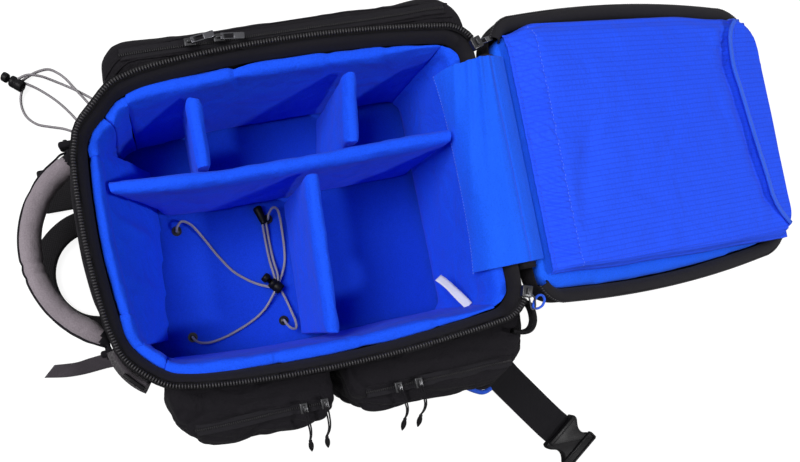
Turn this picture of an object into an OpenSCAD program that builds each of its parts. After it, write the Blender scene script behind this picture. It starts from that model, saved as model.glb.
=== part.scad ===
// Padded camera backpack, lying on its harness with the front lid opened.
// Millimetres. X runs from the carry-handle end (-X) to the lid hinge (+X),
// Y from the two small side pockets (-Y) to the long one (+Y), Z is up.
// The origin lies under the middle of the bag, on the surface it rests on.

/* [Body] */
// Length of the zipped opening
body_l = 450; // [420:5:500]
// Width of the zipped opening at its corners
body_w = 330; // [300:5:360]
// Height of the zip above the ground
rim_z = 200; // [190:1:240]
// Corner radius at the handle end
handle_end_r = 62; // [50:1:75]
// Corner radius at the hinge end
hinge_end_r = 38; // [30:1:44]
// How far the long sides bulge outwards in the middle
side_bow = 11; // [2:1:16]
// How far the handle end bulges outwards in the middle
end_bow = 7; // [2:1:10]
// Thickness of the outer fabric panels
shell_wall = 4; // [3:0.5:6]

/* [Insert] */
// Width of the black band between the zip and the blue padding
band_w = 14; // [12:0.5:18]
// Thickness of the padded walls
pad_wall = 17; // [12:0.5:20]
// Thickness of the padded floor
pad_floor = 4; // [3:0.5:8]
// How far the crown of the padded walls lies below the zip
crown_drop = 16; // [16:0.5:24]
// How far the end wall leans inwards at the floor
end_lean = 38; // [20:1:45]
// Thickness of the padded dividers
divider_t = 16; // [10:0.5:18]
// How far the dividers end below the crown
divider_drop = 4; // [3:0.5:20]
// Gap between padded pieces
soft_gap = 0.6; // [0.4:0.1:1.5]

/* [Back and harness] */
// Height of the back pads, which the bag rests on
harness_t = 14; // [14:0.5:20]
// Thickness of the back panel
back_t = 3; // [2:0.5:5]
// Thickness of the stiffener sheet behind the insert
frame_t = 1.5; // [1:0.5:3]
// Thickness of the shoulder straps
strap_t = 12; // [8:0.5:12]
// Width of the shoulder straps
strap_w = 57; // [50:1:57]
// Width of the waist belt webbing
belt_w = 50; // [38:1:50]
// Thickness of webbing
webbing_t = 2; // [1.5:0.1:3]

/* [Handle] */
// Thickness of the padded handle
handle_d = 27; // [20:1:30]
// Distance between the handle's two ends
handle_span = 206; // [180:2:210]
// Height of the handle above the ground
handle_z = 100; // [90:1:110]
// Diameter of the bar sewn into each handle end
handle_pin_d = 5; // [4:0.5:7]

/* [Side pockets] */
// How far the long pocket stands out
far_pocket_d = 51; // [40:1:60]
// Height of the top of the long pocket
far_pocket_z = 178; // [165:1:180]
// How far the small pockets stand out
near_pocket_d = 80; // [66:1:90]
// Height of the top of the small pockets
near_pocket_z = 165; // [150:1:175]
// Height of the underside of all the pockets
pocket_low = 40; // [30:1:60]

/* [Lid] */
// Length of the lid from the hinge to its far zip
lid_l = 447; // [417:1:497]
// How steeply the open lid slopes down
lid_slope = 11.5; // [8:0.5:13]
// Thickness of the lid panel
lid_t = 36; // [28:1:40]
// Thickness of the organiser pocket on the lid's outer face
lid_pocket_t = 50; // [30:1:52]
// How far the laptop sleeve stands above the lid's zip
sleeve_rise = 10; // [5:0.5:11]

/* [Cords] */
// Diameter of the elastic cord
cord_d = 3.4; // [3:0.2:4]
// Diameter of a cord lock's barrel
lock_d = 15; // [14:0.5:16]
// Diameter of a cord lock's button
button_d = 12.5; // [10:0.5:13]
// Travel of a cord lock's button
button_travel = 4; // [2:0.5:5]

/* [Hidden] */
$fn = 48;

blue = [0.11, 0.27, 0.95];
light_blue = [0.22, 0.42, 1.0];
black = [0.10, 0.10, 0.11];
coil_black = [0.16, 0.16, 0.17];
grey = [0.42, 0.40, 0.41];
cord_grey = [0.55, 0.54, 0.56];

half_l = body_l / 2;
half_w = body_w / 2;
far_side = 1;
near_side = -1;
touch = 0.3;

back_z = harness_t + back_t;
frame_z = back_z + frame_t;
floor_z = frame_z + pad_floor + 1.5;
shell_z = rim_z - 12;
band_z = shell_z + touch;
band_t = 3;
crown_z = rim_z - crown_drop;
divider_z = crown_z - divider_drop;
pad_out = band_w;
pad_in = band_w + pad_wall;

// ---- outlines ----

function arc(c, r, a, b, n) = [for (i = [0:n])
    c + r * [cos(a + (b - a) * i / n), sin(a + (b - a) * i / n)]];

// The points between two corners, bulged outwards by h along the direction d
function bulged(p, q, h, d, n) = [for (i = [1:n - 1])
    p + (q - p) * i / n + d * h * 4 * (i / n) * (1 - i / n)];

// Rounded rectangle, a by b half sizes, r_h at -X and r_g at +X corners, with bulging sides
function bag_outline(a, b, r_h, r_g, bow, n) = concat(
    arc([a - r_g, b - r_g], r_g, 0, 90, n),
    bulged([a - r_g, b], [r_h - a, b], bow, [0, 1], 10),
    arc([r_h - a, b - r_h], r_h, 90, 180, n),
    bulged([-a, b - r_h], [-a, r_h - b], end_bow, [-1, 0], 8),
    arc([r_h - a, r_h - b], r_h, 180, 270, n),
    bulged([r_h - a, -b], [a - r_g, -b], bow, [0, -1], 10),
    arc([a - r_g, r_g - b], r_g, 270, 360, n));

// The bag's outline, moved inwards by i
function plan(i, n = 8) = bag_outline(half_l - i, half_w - i, handle_end_r - i,
    max(hinge_end_r - i, 4), side_bow, n);

// Half width of that outline at x, along its bulged side
function plan_y(x, i) = let(x0 = handle_end_r - half_l, x1 = half_l - hinge_end_r,
    t = (x - x0) / (x1 - x0)) half_w - i + side_bow * 4 * t * (1 - t);

// A strip of width w along a path of points
function normal_at(p, k) = let(a = p[max(k - 1, 0)], b = p[min(k + 1, len(p) - 1)],
    d = (b - a) / norm(b - a)) [-d[1], d[0]];
function strip(p, w) = concat(
    [for (k = [0:len(p) - 1]) p[k] + normal_at(p, k) * w / 2],
    [for (k = [len(p) - 1:-1:0]) p[k] - normal_at(p, k) * w / 2]);

module ring(outer, inner, z0, z1)
    translate([0, 0, z0]) linear_extrude(z1 - z0) difference() {
        polygon(plan(outer));
        polygon(plan(inner));
    }

module slab(x0, x1, y0, y1, z0, z1) translate([x0, y0, z0]) cube([x1 - x0, y1 - y0, z1 - z0]);

module round_slab(x0, x1, y0, y1, z0, z1, r) translate([0, 0, z0]) linear_extrude(z1 - z0)
    rounded(x0, x1, y0, y1, r);

module rounded(x0, x1, y0, y1, r) polygon(concat(
    arc([x1 - r, y1 - r], r, 0, 90, 5), arc([x0 + r, y1 - r], r, 90, 180, 5),
    arc([x0 + r, y0 + r], r, 180, 270, 5), arc([x1 - r, y0 + r], r, 270, 360, 5)));

// ---- body shell ----

corner_x = handle_end_r - half_l;
hinge_corner_x = half_l - hinge_end_r;
reach = body_l;
seam = 0.1;

module back_panel() color(black) translate([0, 0, harness_t]) linear_extrude(back_t)
    polygon(plan(1));

module frame_sheet() color(grey) translate([0, 0, back_z]) linear_extrude(frame_t)
    polygon(plan(shell_wall + 4));

module shell_ring() ring(0, shell_wall, back_z, shell_z);

module shell_near_panel() color(black) intersection() {
    shell_ring();
    slab(corner_x + seam, hinge_corner_x - seam, -reach, 0, 0, rim_z);
}

module shell_far_panel() color(black) intersection() {
    shell_ring();
    slab(corner_x + seam, hinge_corner_x - seam, 0, reach, 0, rim_z);
}

module shell_handle_end() color(black) intersection() {
    shell_ring();
    slab(-reach, corner_x - seam, -reach, reach, 0, rim_z);
}

module shell_hinge_end() color(black) intersection() {
    shell_ring();
    slab(hinge_corner_x + seam, reach, -reach, reach, 0, rim_z);
}

module rim_band() color(black) ring(2.5, band_w - 0.5, band_z, band_z + band_t);

zip_t = 2;
coil_t = 3.5;
coil_h = 3;
zip_end_x = half_l - 6;

module body_zip() color(coil_black) intersection() {
    union() {
        ring(0.3, 0.3 + zip_t, band_z, rim_z - coil_h);
        ring(-0.5, -0.5 + coil_t, rim_z - coil_h, rim_z);
    }
    slab(-reach, zip_end_x, -reach, reach, 0, rim_z);
}

// ---- padded insert ----

crown_t = 6;
crown_in = 4;

module insert_ring() {
    ring(pad_out, pad_in, floor_z, crown_z - crown_t);
    ring(pad_out + crown_in, pad_in - crown_in, crown_z - crown_t, crown_z);
}

eyelet_at = [[-133, 26], [-11, 20], [-140, -115], [-17, -117]];
eyelet_hole_d = 6.5;
eyelet_d = 13;

module insert_floor() color(blue) difference() {
    translate([0, 0, floor_z - pad_floor]) linear_extrude(pad_floor - touch)
        polygon(plan(pad_out));
    for (p = eyelet_at) translate([p[0], p[1], floor_z - pad_floor - 1])
        cylinder(d = eyelet_d - 3, h = pad_floor + 2);
}

module floor_eyelets() color(black) for (p = eyelet_at)
    translate([p[0], p[1], floor_z - touch]) rotate_extrude() {
        translate([eyelet_hole_d / 2, 0.05]) square([(eyelet_d - eyelet_hole_d) / 2, 1.2]);
        translate([eyelet_hole_d / 2, 0.1 - pad_floor]) square([1.7, pad_floor]);
    }

module insert_near_wall() color(blue) intersection() {
    insert_ring();
    slab(corner_x + seam, hinge_corner_x - seam, -reach, 0, 0, rim_z);
}

module insert_far_wall() color(blue) intersection() {
    insert_ring();
    slab(corner_x + seam, hinge_corner_x - seam, 0, reach, 0, rim_z);
}

end_wall_x = pad_in - half_l;
side_y = half_w - pad_in;

module insert_handle_wall() color(blue) {
    intersection() {
        insert_ring();
        union() {
            slab(-reach, corner_x - seam, side_y * 0.77, reach, 0, rim_z);
            slab(-reach, corner_x - seam, -side_y * 0.76, side_y * 0.76, 0, rim_z);
            slab(-reach, corner_x - seam, -reach, -side_y * 0.77, 0, rim_z);
        }
    }
    translate([0, side_y - handle_end_r / 3, 0]) rotate([90, 0, 0])
        linear_extrude(2 * side_y - 2 * handle_end_r / 3)
            polygon([[end_wall_x - end_bow - 2, floor_z], [end_wall_x + end_lean, floor_z],
                [end_wall_x, crown_z - crown_t], [end_wall_x - end_bow - 2, crown_z - crown_t]]);
}

module insert_hinge_wall() color(blue) intersection() {
    insert_ring();
    slab(hinge_corner_x + seam, reach, -reach, reach, 0, rim_z);
}

// ---- fabric at the hinge ----

hinge_x = half_l + 4;
flap_far_gap = 2;
flap_near_gap = 19;
flap_y0 = hinge_end_r + flap_near_gap - half_w;
flap_y1 = half_w - hinge_end_r - flap_far_gap;
cloth_t = 1.5;

module hinge_strip() color(black) translate([0, flap_y1, 0]) rotate([90, 0, 0])
    linear_extrude(flap_y1 - flap_y0)
        polygon(strip([[half_l + 1.5, shell_z - 8], [half_l + 2.5, shell_z],
            [hinge_x - 1.5, rim_z - 3]], 2));

module hinge_flap() color(light_blue) translate([0, flap_y1 - 4, 0]) rotate([90, 0, 0])
    linear_extrude(flap_y1 - flap_y0 - 8)
        polygon(strip([[half_l - 2, rim_z - 6.5], [half_l - pad_out + 0.2, rim_z - 7.4],
            [half_l - pad_out - 1.2, rim_z - 9],
            [half_l - pad_out - crown_in - 1, crown_z + 1.4],
            [half_l - pad_in + crown_in - 0.5, crown_z + 1.2],
            [half_l - pad_in - 0.8, crown_z - crown_t + 1.6],
            [half_l - pad_in - 1, crown_z - crown_t - 4],
            [half_l - pad_in - 1, crown_z - 24]], cloth_t));

module care_label() color("white") translate([178, 0.2 - side_y, 150])
    rotate([0, 0, 22]) rotate([41, 0, 0]) translate([-7.5, 0.5, -60])
        cube([15, 0.8, 58]);

// ---- dividers ----

long_path = [[-150, 54], [-80, 49], [38, 49], [100, 50], [188, 51]];
long_end = [end_wall_x - 1.5, 58];
lean_gap = 2;

function long_y(x) = let(p = concat([long_end], long_path),
    k = [for (i = [0:len(p) - 2]) if (p[i][0] <= x && x <= p[i + 1][0]) i][0],
    t = (x - p[k][0]) / (p[k + 1][0] - p[k][0])) p[k][1] + (p[k + 1][1] - p[k][1]) * t;

module divider_body(points) translate([0, 0, floor_z + touch])
    linear_extrude(divider_z - floor_z - touch) polygon(points);

// The long divider's end follows the lean of the end wall
module long_divider() color(blue) difference() {
    divider_body(strip(concat([long_end], long_path), divider_t));
    translate([0, reach / 2, 0]) rotate([90, 0, 0]) linear_extrude(reach)
        polygon([[-reach, 0], [end_wall_x + end_lean + lean_gap, 0],
            [end_wall_x + end_lean + lean_gap, floor_z], [end_wall_x + lean_gap, crown_z - crown_t],
            [end_wall_x + lean_gap, rim_z], [-reach, rim_z]]);
}

// A divider from the long one (at x0) to a side wall (at x1)
module cross_divider(x0, x1, side) {
    y0 = long_y(x0) + side * (divider_t / 2 + soft_gap + 0.6);
    y1 = side * (plan_y(x1, pad_in) - soft_gap - 0.8);
    color(blue) divider_body([[x0 - divider_t / 2, y0], [x0 + divider_t / 2, y0],
        [x1 + divider_t / 2, y1], [x1 - divider_t / 2, y1]]);
}

module divider_1() cross_divider(-95, -92, far_side);
module divider_2() cross_divider(72, 86, far_side);
module divider_3() cross_divider(20, 8, near_side);

// ---- side pockets ----

pocket_clear = 0.4;
pocket_in = half_w - 10;
far_x0 = -188;
far_x1 = 236;
far_out = half_w + far_pocket_d;
near_out = half_w + near_pocket_d;
near_x0 = -192;
near_mid = 9;
near_x1 = 246;

// Seen along X: from the body outwards, with rounded outer edges
module pocket_profile(out, top, r) polygon(concat([[pocket_in, pocket_low], [pocket_in, top]],
    [for (p = arc([out - r, top - r], r, 90, 0, 6)) p],
    [for (p = arc([out - r * 0.7, pocket_low + r * 0.7], r * 0.7, 0, -90, 5)) p]));

// Seen from above: flat against the body, with a corner of its own size at each end
module pocket_plan(x0, x1, out, r0, r1) polygon(concat([[x1, 0], [x0, 0]],
    arc([x0 + r0, out - r0], r0, 180, 90, 7), arc([x1 - r1, out - r1], r1, 90, 0, 7)));

module pocket(x0, x1, out, top, r, r0, r1) difference() {
    intersection() {
        translate([x0, 0, 0]) rotate([90, 0, 90]) linear_extrude(x1 - x0)
            pocket_profile(out, top, r);
        linear_extrude(rim_z) pocket_plan(x0, x1, out + 0.2, r0, r1);
    }
    translate([0, 0, -1]) linear_extrude(rim_z + 2) polygon(plan(-pocket_clear));
}

module far_pocket() color(black) pocket(far_x0, far_x1, far_out, far_pocket_z, 18, 34, 44);
module near_pocket_upper() color(black) mirror([0, 1, 0])
    pocket(near_x0, near_mid - 2, near_out, near_pocket_z, 20, 66, 30);
module near_pocket_lower() color(black) mirror([0, 1, 0])
    pocket(near_mid + 2, near_x1, near_out, near_pocket_z, 20, 40, 68);

pocket_zip_w = 12;
pocket_zip_t = 1;
far_zip_y = far_out - 22;
near_zip_y = 30 - near_out;

module zip_run(x0, x1, y, z) slab(x0, x1, y - pocket_zip_w / 2, y + pocket_zip_w / 2,
    z + 0.05, z + pocket_zip_t);

module pocket_zips() color(coil_black) {
    zip_run(far_x0 + 26, far_x1 - 26, far_zip_y, far_pocket_z);
    zip_run(near_x0 + 28, near_mid - 26, near_zip_y, near_pocket_z);
    zip_run(near_mid + 26, near_x1 - 28, near_zip_y, near_pocket_z);
}

// ---- back pads, straps and belt ----

module back_pads() color(black) {
    for (y = [-43, 0, 43])
        round_slab(-140, 95, y - 19, y + 19, 0, harness_t - 0.05, 14);
    round_slab(108, 206, -75, 75, 0, harness_t - 0.05, 20);
}

// The near strap swings out past the handle end in a wide turn, the far one is folded flat
loop_at = [-243, -8];
loop_r = 71;
loop_w = 30;
fold_x = -291;
fold_y = 110.5;
strap_root_x = -165;
strap_end_x = 60;
strap_z = harness_t - 0.05 - strap_t;
fold_gap = 0.4;
adjuster_w = 25;

module shoulder_strap_near() color(black) {
    translate([loop_at[0], loop_at[1], strap_z]) rotate([0, 0, 90]) rotate_extrude(angle = 180)
        translate([loop_r - loop_w / 2, 0]) square([loop_w, strap_t]);
    slab(loop_at[0], strap_root_x, loop_at[1] + loop_r - loop_w / 2,
        loop_at[1] + loop_r + loop_w / 2, strap_z, strap_z + strap_t);
    slab(loop_at[0], strap_end_x, loop_at[1] - loop_r - loop_w / 2,
        loop_at[1] - loop_r + loop_w / 2, strap_z, strap_z + strap_t);
    slab(strap_end_x - 1, strap_end_x + 50, loop_at[1] - loop_r - adjuster_w / 2,
        loop_at[1] - loop_r + adjuster_w / 2, harness_t - 0.1 - webbing_t, harness_t - 0.1);
}

// Seen from the side: out to the fold along the top, back along the bottom
module folded_strap() polygon(concat(
    arc([fold_x, strap_z + strap_t / 2], strap_t / 2, 90, 270, 8),
    [[strap_end_x, strap_z], [strap_end_x, strap_z + (strap_t - fold_gap) / 2],
        [fold_x, strap_z + (strap_t - fold_gap) / 2],
        [fold_x, strap_z + (strap_t + fold_gap) / 2],
        [strap_root_x, strap_z + (strap_t + fold_gap) / 2],
        [strap_root_x, strap_z + strap_t]]));

module shoulder_strap_far() color(black) {
    translate([0, fold_y + strap_w / 2, 0]) rotate([90, 0, 0]) linear_extrude(strap_w)
        folded_strap();
    slab(strap_end_x - 1, strap_end_x + 50, fold_y - adjuster_w / 2, fold_y + adjuster_w / 2,
        strap_z + 1, strap_z + 1 + webbing_t);
    slab(strap_end_x + 44, strap_end_x + 50, fold_y - adjuster_w / 2, fold_y + adjuster_w / 2,
        strap_z + 1, harness_t - 0.1);
}

wing_z = 0.5;
wing_t = 11;
wing_root_y = 75.5;
wing_tip_y = 262;
belt_dir = -55;
belt_from = [281, -257];
belt_run = 112;
buckle_w = 62;
buckle_l = 50;
buckle_t = 14;

module belt_wing_far() color(black) translate([0, 0, wing_z]) linear_extrude(wing_t)
    polygon([[122, wing_root_y], [204, wing_root_y], [210, wing_tip_y - 20],
        [196, wing_tip_y], [156, wing_tip_y], [146, wing_tip_y - 5], [146, 198]]);

module along_belt() translate([belt_from[0], belt_from[1], 0]) rotate([0, 0, belt_dir])
    children();

// The wing ends square to the webbing
wing_end_w = 60;
function off_belt(v) = belt_from + v * [-sin(belt_dir), cos(belt_dir)];

module belt_wing_near() color(black) translate([0, 0, wing_z]) linear_extrude(wing_t)
    polygon([[122, -wing_root_y], [204, -wing_root_y], [284, -200],
        off_belt(wing_end_w / 2) + [3, 14], off_belt(wing_end_w / 2),
        off_belt(-wing_end_w / 2), off_belt(-wing_end_w / 2) + [-16, 0],
        [208, -252], [168, -180]]);

module belt_webbing() color(black) along_belt()
    slab(0.1, belt_run, -belt_w / 2, belt_w / 2, 1, 1 + webbing_t);

module female_buckle() color(black) along_belt() translate([belt_run + 0.3, 0, 0.3])
    difference() {
        union() {
            round_slab(0, buckle_l, -buckle_w / 2, buckle_w / 2, 0, buckle_t, 7);
            slab(0, 6, -buckle_w / 2 - 1, buckle_w / 2 + 1, 2, buckle_t - 2);
        }
        slab(14, buckle_l + 1, -buckle_w / 2 + 5, buckle_w / 2 - 5, 3.5, buckle_t - 3.5);
        slab(8, 34, -14, 14, buckle_t - 4, buckle_t + 1);
    }

male_at = [146, 228];
male_run = 74;
prong_w = 10;

module male_buckle() color(black) translate([male_at[0], male_at[1], 0]) mirror([1, 0, 0]) {
    slab(0.3, male_run, -belt_w / 2, belt_w / 2, 1, 1 + webbing_t);
    translate([male_run, 0, 0.4]) {
        round_slab(0, 16, -buckle_w / 2, buckle_w / 2, 0, 9, 5);
        for (y = [-buckle_w / 2 + 7, 0, buckle_w / 2 - 7])
            round_slab(14, 40, y - prong_w / 2, y + prong_w / 2, 1.5, 7.5, 4);
    }
}

// ---- corner strap with its ladder buckle and free tail ----

tail_w = 19;
strap_in = handle_end_r + 0.2;
corner_band_z = 158;
ladder_l = 26;
ladder_h = 28;
ladder_t = 5;

module at_corner(a) translate([corner_x, handle_end_r - half_w, 0]) rotate([0, 0, a])
    translate([strap_in, 0, 0]) children();

module corner_strap() color(black) {
    translate([corner_x, handle_end_r - half_w, corner_band_z]) rotate([0, 0, 188])
        rotate_extrude(angle = 48) translate([strap_in, 0]) square([webbing_t, tail_w]);
    at_corner(206) slab(0, webbing_t, -tail_w / 2, tail_w / 2, 1, corner_band_z + 2);
    at_corner(222) translate([webbing_t + 0.3, 0, corner_band_z + (tail_w - ladder_h) / 2])
        difference() {
            slab(0, ladder_t, -ladder_l / 2, ladder_l / 2, 0, ladder_h);
            slab(-1, ladder_t + 1, -8.6, -5.4, 3.5, ladder_h - 3.5);
            slab(-1, ladder_t + 1, 5.4, 8.6, 3.5, ladder_h - 3.5);
        }
    translate([0, 0, 1]) linear_extrude(webbing_t) polygon([[-217, -139], [-224, -122],
        [-258, -114], [-297, -117], [-324, -114], [-340, -128], [-306, -133], [-287, -134],
        [-253, -132]]);
}

// ---- handle ----

handle_y = 10;
handle_sag = 64;
handle_r = (handle_span * handle_span / 4 + handle_sag * handle_sag) / (2 * handle_sag);
handle_half = asin(handle_span / 2 / handle_r);
handle_end_x = -half_l - end_bow - 10;
handle_cx = handle_end_x + handle_r * cos(handle_half);
pin_gap = 0.05;
tab_t = 9;
tab_gap = 16;

module handle() color(grey) {
    translate([handle_cx, handle_y, handle_z]) rotate([0, 0, 180 - handle_half])
        rotate_extrude(angle = 2 * handle_half) translate([handle_r, 0]) circle(d = handle_d);
    for (s = [-1, 1]) translate([handle_end_x, handle_y + s * (handle_span / 2 - 8), handle_z])
        rotate([-90 * s, 0, 0]) cylinder(d = handle_pin_d, h = tab_gap + tab_t + 7);
}

// Fabric loops that carry the handle, tabs for the elastic cord and a loop at the near corner
module handle_tab(s) difference() {
    translate([handle_end_x - 6, handle_y + s * (handle_span / 2 + tab_gap) + (s < 0 ? -tab_t : 0),
        handle_z - 8]) cube([-half_l + 30 - handle_end_x, tab_t, 16]);
    translate([handle_end_x, handle_y, handle_z]) rotate([-90 * s, 0, 0])
        cylinder(d = handle_pin_d + 2 * pin_gap, h = handle_span);
    translate([0, 0, -1]) linear_extrude(rim_z) polygon(plan(-0.2));
}

module cord_tab(a) translate([corner_x, half_w - handle_end_r, harness_t - 1.3]) rotate([0, 0, a])
    slab(handle_end_r - 8, handle_end_r + 12, -8, 8, 0, 1.2);

module sewn_tabs() color(black) {
    handle_tab(1);
    handle_tab(-1);
    cord_tab(112);
    cord_tab(130);
    translate([0, 0, near_pocket_z + 1.2]) linear_extrude(8) difference() {
        rounded(206, 244, -187, -147, 9);
        rounded(224, 236, -178, -157, 5);
        polygon(plan(-0.2));
    }
}

// ---- lid, built flat along its own length s and swung to its open slope ----

lid_start = 16;
lid_c = (lid_l + lid_start) / 2;
lid_half = (lid_l - lid_start) / 2;
lid_rim_h = -4;
liner_h = -8;
sleeve_s0 = 30;
sleeve_y0 = -128;
sleeve_y1 = 146;
flap_s0 = 376;
cover_t = 2;

function lid_plan(i, n = 8) = [for (p = bag_outline(lid_half - i, half_w - i,
    max(hinge_end_r - i, 4), handle_end_r - i, side_bow - 2, n)) [lid_c + p[0], p[1]]];

module open_lid() translate([hinge_x, 0, rim_z]) rotate([0, lid_slope, 0]) children();

module lid_prism(i, h0, h1) translate([0, 0, h0]) linear_extrude(h1 - h0)
    polygon([for (p = lid_plan(i)) p]);

module lid_shell() color(black) open_lid() difference() {
    lid_prism(0, lid_rim_h - lid_t, lid_rim_h - 6);
    lid_prism(shell_wall, lid_rim_h - lid_t + 3, lid_rim_h + 1);
}

module lid_liner() color(blue) open_lid() {
    lid_prism(shell_wall + 0.2, lid_rim_h - lid_t + 3.1, liner_h - 5);
    lid_prism(band_w, liner_h - 5, liner_h);
}

module lid_zip() color(coil_black) open_lid() difference() {
    union() {
        lid_prism(0.3, lid_rim_h - 5.9, lid_rim_h - coil_h);
        lid_prism(-0.5, lid_rim_h - coil_h, lid_rim_h);
    }
    lid_prism(0.3 + zip_t, lid_rim_h - 10, lid_rim_h - coil_h + 0.5);
    lid_prism(coil_t - 0.5, lid_rim_h - coil_h - 1, lid_rim_h + 1);
    slab(0, lid_start + 8, -reach, reach, -lid_t, 10);
}

module sleeve_part(s0, s1, h0, h1, i) intersection() {
    lid_prism(i, h0, h1);
    slab(s0, s1, sleeve_y0, sleeve_y1, h0, h1);
}

module laptop_sleeve() color(blue) open_lid()
    sleeve_part(sleeve_s0, lid_l, liner_h + 0.1, sleeve_rise, band_w + 2);

module sleeve_flap() color(light_blue) open_lid()
    sleeve_part(flap_s0, lid_l, sleeve_rise + touch, sleeve_rise + touch + cover_t, band_w + 2);

module lid_pocket() color(black) open_lid() intersection() {
    lid_prism(22, lid_rim_h - lid_t - lid_pocket_t, lid_rim_h - lid_t - 0.1);
    translate([0, half_w, 0]) rotate([90, 0, 0]) linear_extrude(body_w)
        polygon([[lid_start + 60, lid_rim_h - lid_t], [lid_start + 74, -lid_t - 34],
            [lid_start + 110, lid_rim_h - lid_t - lid_pocket_t],
            [lid_l - 40, lid_rim_h - lid_t - lid_pocket_t], [lid_l - 20, -lid_t - 30],
            [lid_l - 20, lid_rim_h - lid_t]]);
}

// ---- zip sliders ----

slider_l = 13;
slider_h = 7;
groove = 0.3;
slider_angle = 20;

// A main slider rides the coil round the hinge-end corner
module main_slider(side, a0) color(coil_black)
    translate([hinge_corner_x, side * (half_w - hinge_end_r), 0])
        rotate([0, 0, side > 0 ? a0 : -a0 - slider_angle]) {
            difference() {
                rotate_extrude(angle = slider_angle)
                    translate([hinge_end_r - 6, rim_z - 5]) square([12, 8]);
                translate([0, 0, -1]) rotate([0, 0, -5]) rotate_extrude(angle = slider_angle + 10)
                    translate([hinge_end_r - 3 - groove, rim_z - coil_h - 3])
                        square([coil_t + 2 * groove, coil_h + 4 + groove]);
            }
            rotate([0, 0, slider_angle / 2]) translate([hinge_end_r + 5.8, 0, rim_z - 3])
                rotate([0, 24, 0]) slab(0, 24, -3, 3, -1.5, 0.5);
        }

module main_slider_far() main_slider(far_side, 8);
module main_slider_near() main_slider(near_side, 8);

pull_l = 36;

// A pocket slider with its pull, which lies on the pocket and hangs over the edge
module pocket_slider(x, y, z, side, drop_y) color(coil_black) {
    round_slab(x - slider_l / 2, x + slider_l / 2, y - 4, y + 4, z + pocket_zip_t + touch,
        z + pocket_zip_t + touch + 4, 2);
    translate([x, y, z + pocket_zip_t + touch + 1]) rotate([0, 0, side > 0 ? 0 : 180])
        slab(-2, 2, 2, drop_y, 0, 2);
}

module hanging_pull(x, y, z, tip_l) color(coil_black) slab(x - 2, x + 2, y - 2.2, y, z - tip_l, z + 2);

module far_pocket_slider(x) {
    pocket_slider(x, far_zip_y, far_pocket_z, far_side, 6);
    color(coil_black) slab(x + 6, x + 24, far_zip_y - 2, far_zip_y + 2,
        far_pocket_z + pocket_zip_t + touch + 1, far_pocket_z + pocket_zip_t + touch + 3);
}

module near_pocket_slider(x) {
    pocket_slider(x, near_zip_y, near_pocket_z, near_side, near_out + near_zip_y + 3);
    hanging_pull(x, -near_out - 0.6, near_pocket_z + 2, pull_l);
}

module far_pocket_slider_a() far_pocket_slider(-84);
module far_pocket_slider_b() far_pocket_slider(-52);
module upper_pocket_slider_a() near_pocket_slider(-40);
module upper_pocket_slider_b() near_pocket_slider(-16);
module lower_pocket_slider_a() near_pocket_slider(70);
module lower_pocket_slider_b() near_pocket_slider(94);

// ---- elastic cords ----

// Smooth curve through hand-set points, sampled evenly between each pair
function at(p, k) = p[min(max(k, 0), len(p) - 1)];
function smooth(p, n) = concat([for (k = [0:len(p) - 2]) for (i = [0:n - 1])
    let(t = i / n, a = at(p, k - 1), b = p[k], c = p[k + 1], d = at(p, k + 2))
    0.5 * (2 * b + (c - a) * t + (2 * a - 5 * b + 4 * c - d) * t * t
        + (3 * b - a - 3 * c + d) * t * t * t)], [p[len(p) - 1]]);

// Directions, kept level so that the sides of the tube never twist
function way(p, k) = let(v = at(p, k + 1) - at(p, k - 1)) v / norm(v);
function unit(v) = v / max(norm(v), 0.0001);
function first_side(w) = unit(cross(w, abs(w[2]) > 0.9 ? [0, 1, 0] : [0, 0, 1]));
function sides(p, k, s) = k >= len(p) ? [] : let(w = way(p, k), u = unit(s - w * (s * w)))
    concat([u], sides(p, k + 1, u));

cord_sides = 8;

module cord(points, n = 2) {
    p = smooth(points, n);
    m = len(p);
    u = sides(p, 0, first_side(way(p, 0)));
    rim = [for (k = [0:m - 1]) for (j = [0:cord_sides - 1]) let(a = 360 * j / cord_sides)
        p[k] + cord_d / 2 * (cos(a) * u[k] + sin(a) * cross(way(p, k), u[k]))];
    walls = [for (k = [0:m - 2]) for (j = [0:cord_sides - 1])
        let(a = k * cord_sides + j, b = k * cord_sides + (j + 1) % cord_sides)
        each [[a, a + cord_sides, b + cord_sides], [a, b + cord_sides, b]]];
    ends = [for (j = [1:cord_sides - 2]) each [[0, j, j + 1],
        [(m - 1) * cord_sides, (m - 1) * cord_sides + j + 1, (m - 1) * cord_sides + j]]];
    color(cord_grey) polyhedron(rim, concat(walls, ends));
}

cord_a = [[-133, 26, 21], [-133, 26, 30], [-131, 30, 37], [-124, 35, 38], [-113, 29, 33],
    [-101, 11, 28], [-88, -13, 26], [-72, -38, 26], [-55, -54, 27], [-40, -64, 29], [-27, -70, 32]];
cord_b = [[-11, 20, 21], [-11, 20, 30], [-10, 25, 37], [-4, 31, 40], [2, 28, 38], [4, 16, 34],
    [4, -4, 29], [3, -22, 27], [0, -40, 26], [-6, -54, 28], [-14, -66, 32]];
cord_c = [[-140, -115, 21], [-140, -115, 30], [-138, -119, 36], [-131, -124, 35],
    [-117, -126, 29], [-98, -123, 26], [-78, -117, 26], [-56, -108, 26], [-38, -96, 28],
    [-21.5, -76.5, 32]];
cord_d_route = [[-17, -117, 21], [-17, -117, 30], [-16, -122, 36], [-11, -129, 38],
    [-5, -130, 37], [-3, -122, 34], [-5, -108, 30], [-9, -90, 29], [-14, -76, 32]];
cord_tail_1 = [[-20, 15, 30.5], [-20, 2, 28], [-20, -16, 26], [-20, -36, 28], [-19, -54, 33],
    [-19, -62, 35]];
cord_tail_2 = [[-15, 15, 30.5], [-15, 2, 28], [-15, -16, 26], [-15, -36, 28], [-14, -55, 33],
    [-15.5, -64.5, 35]];

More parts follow.
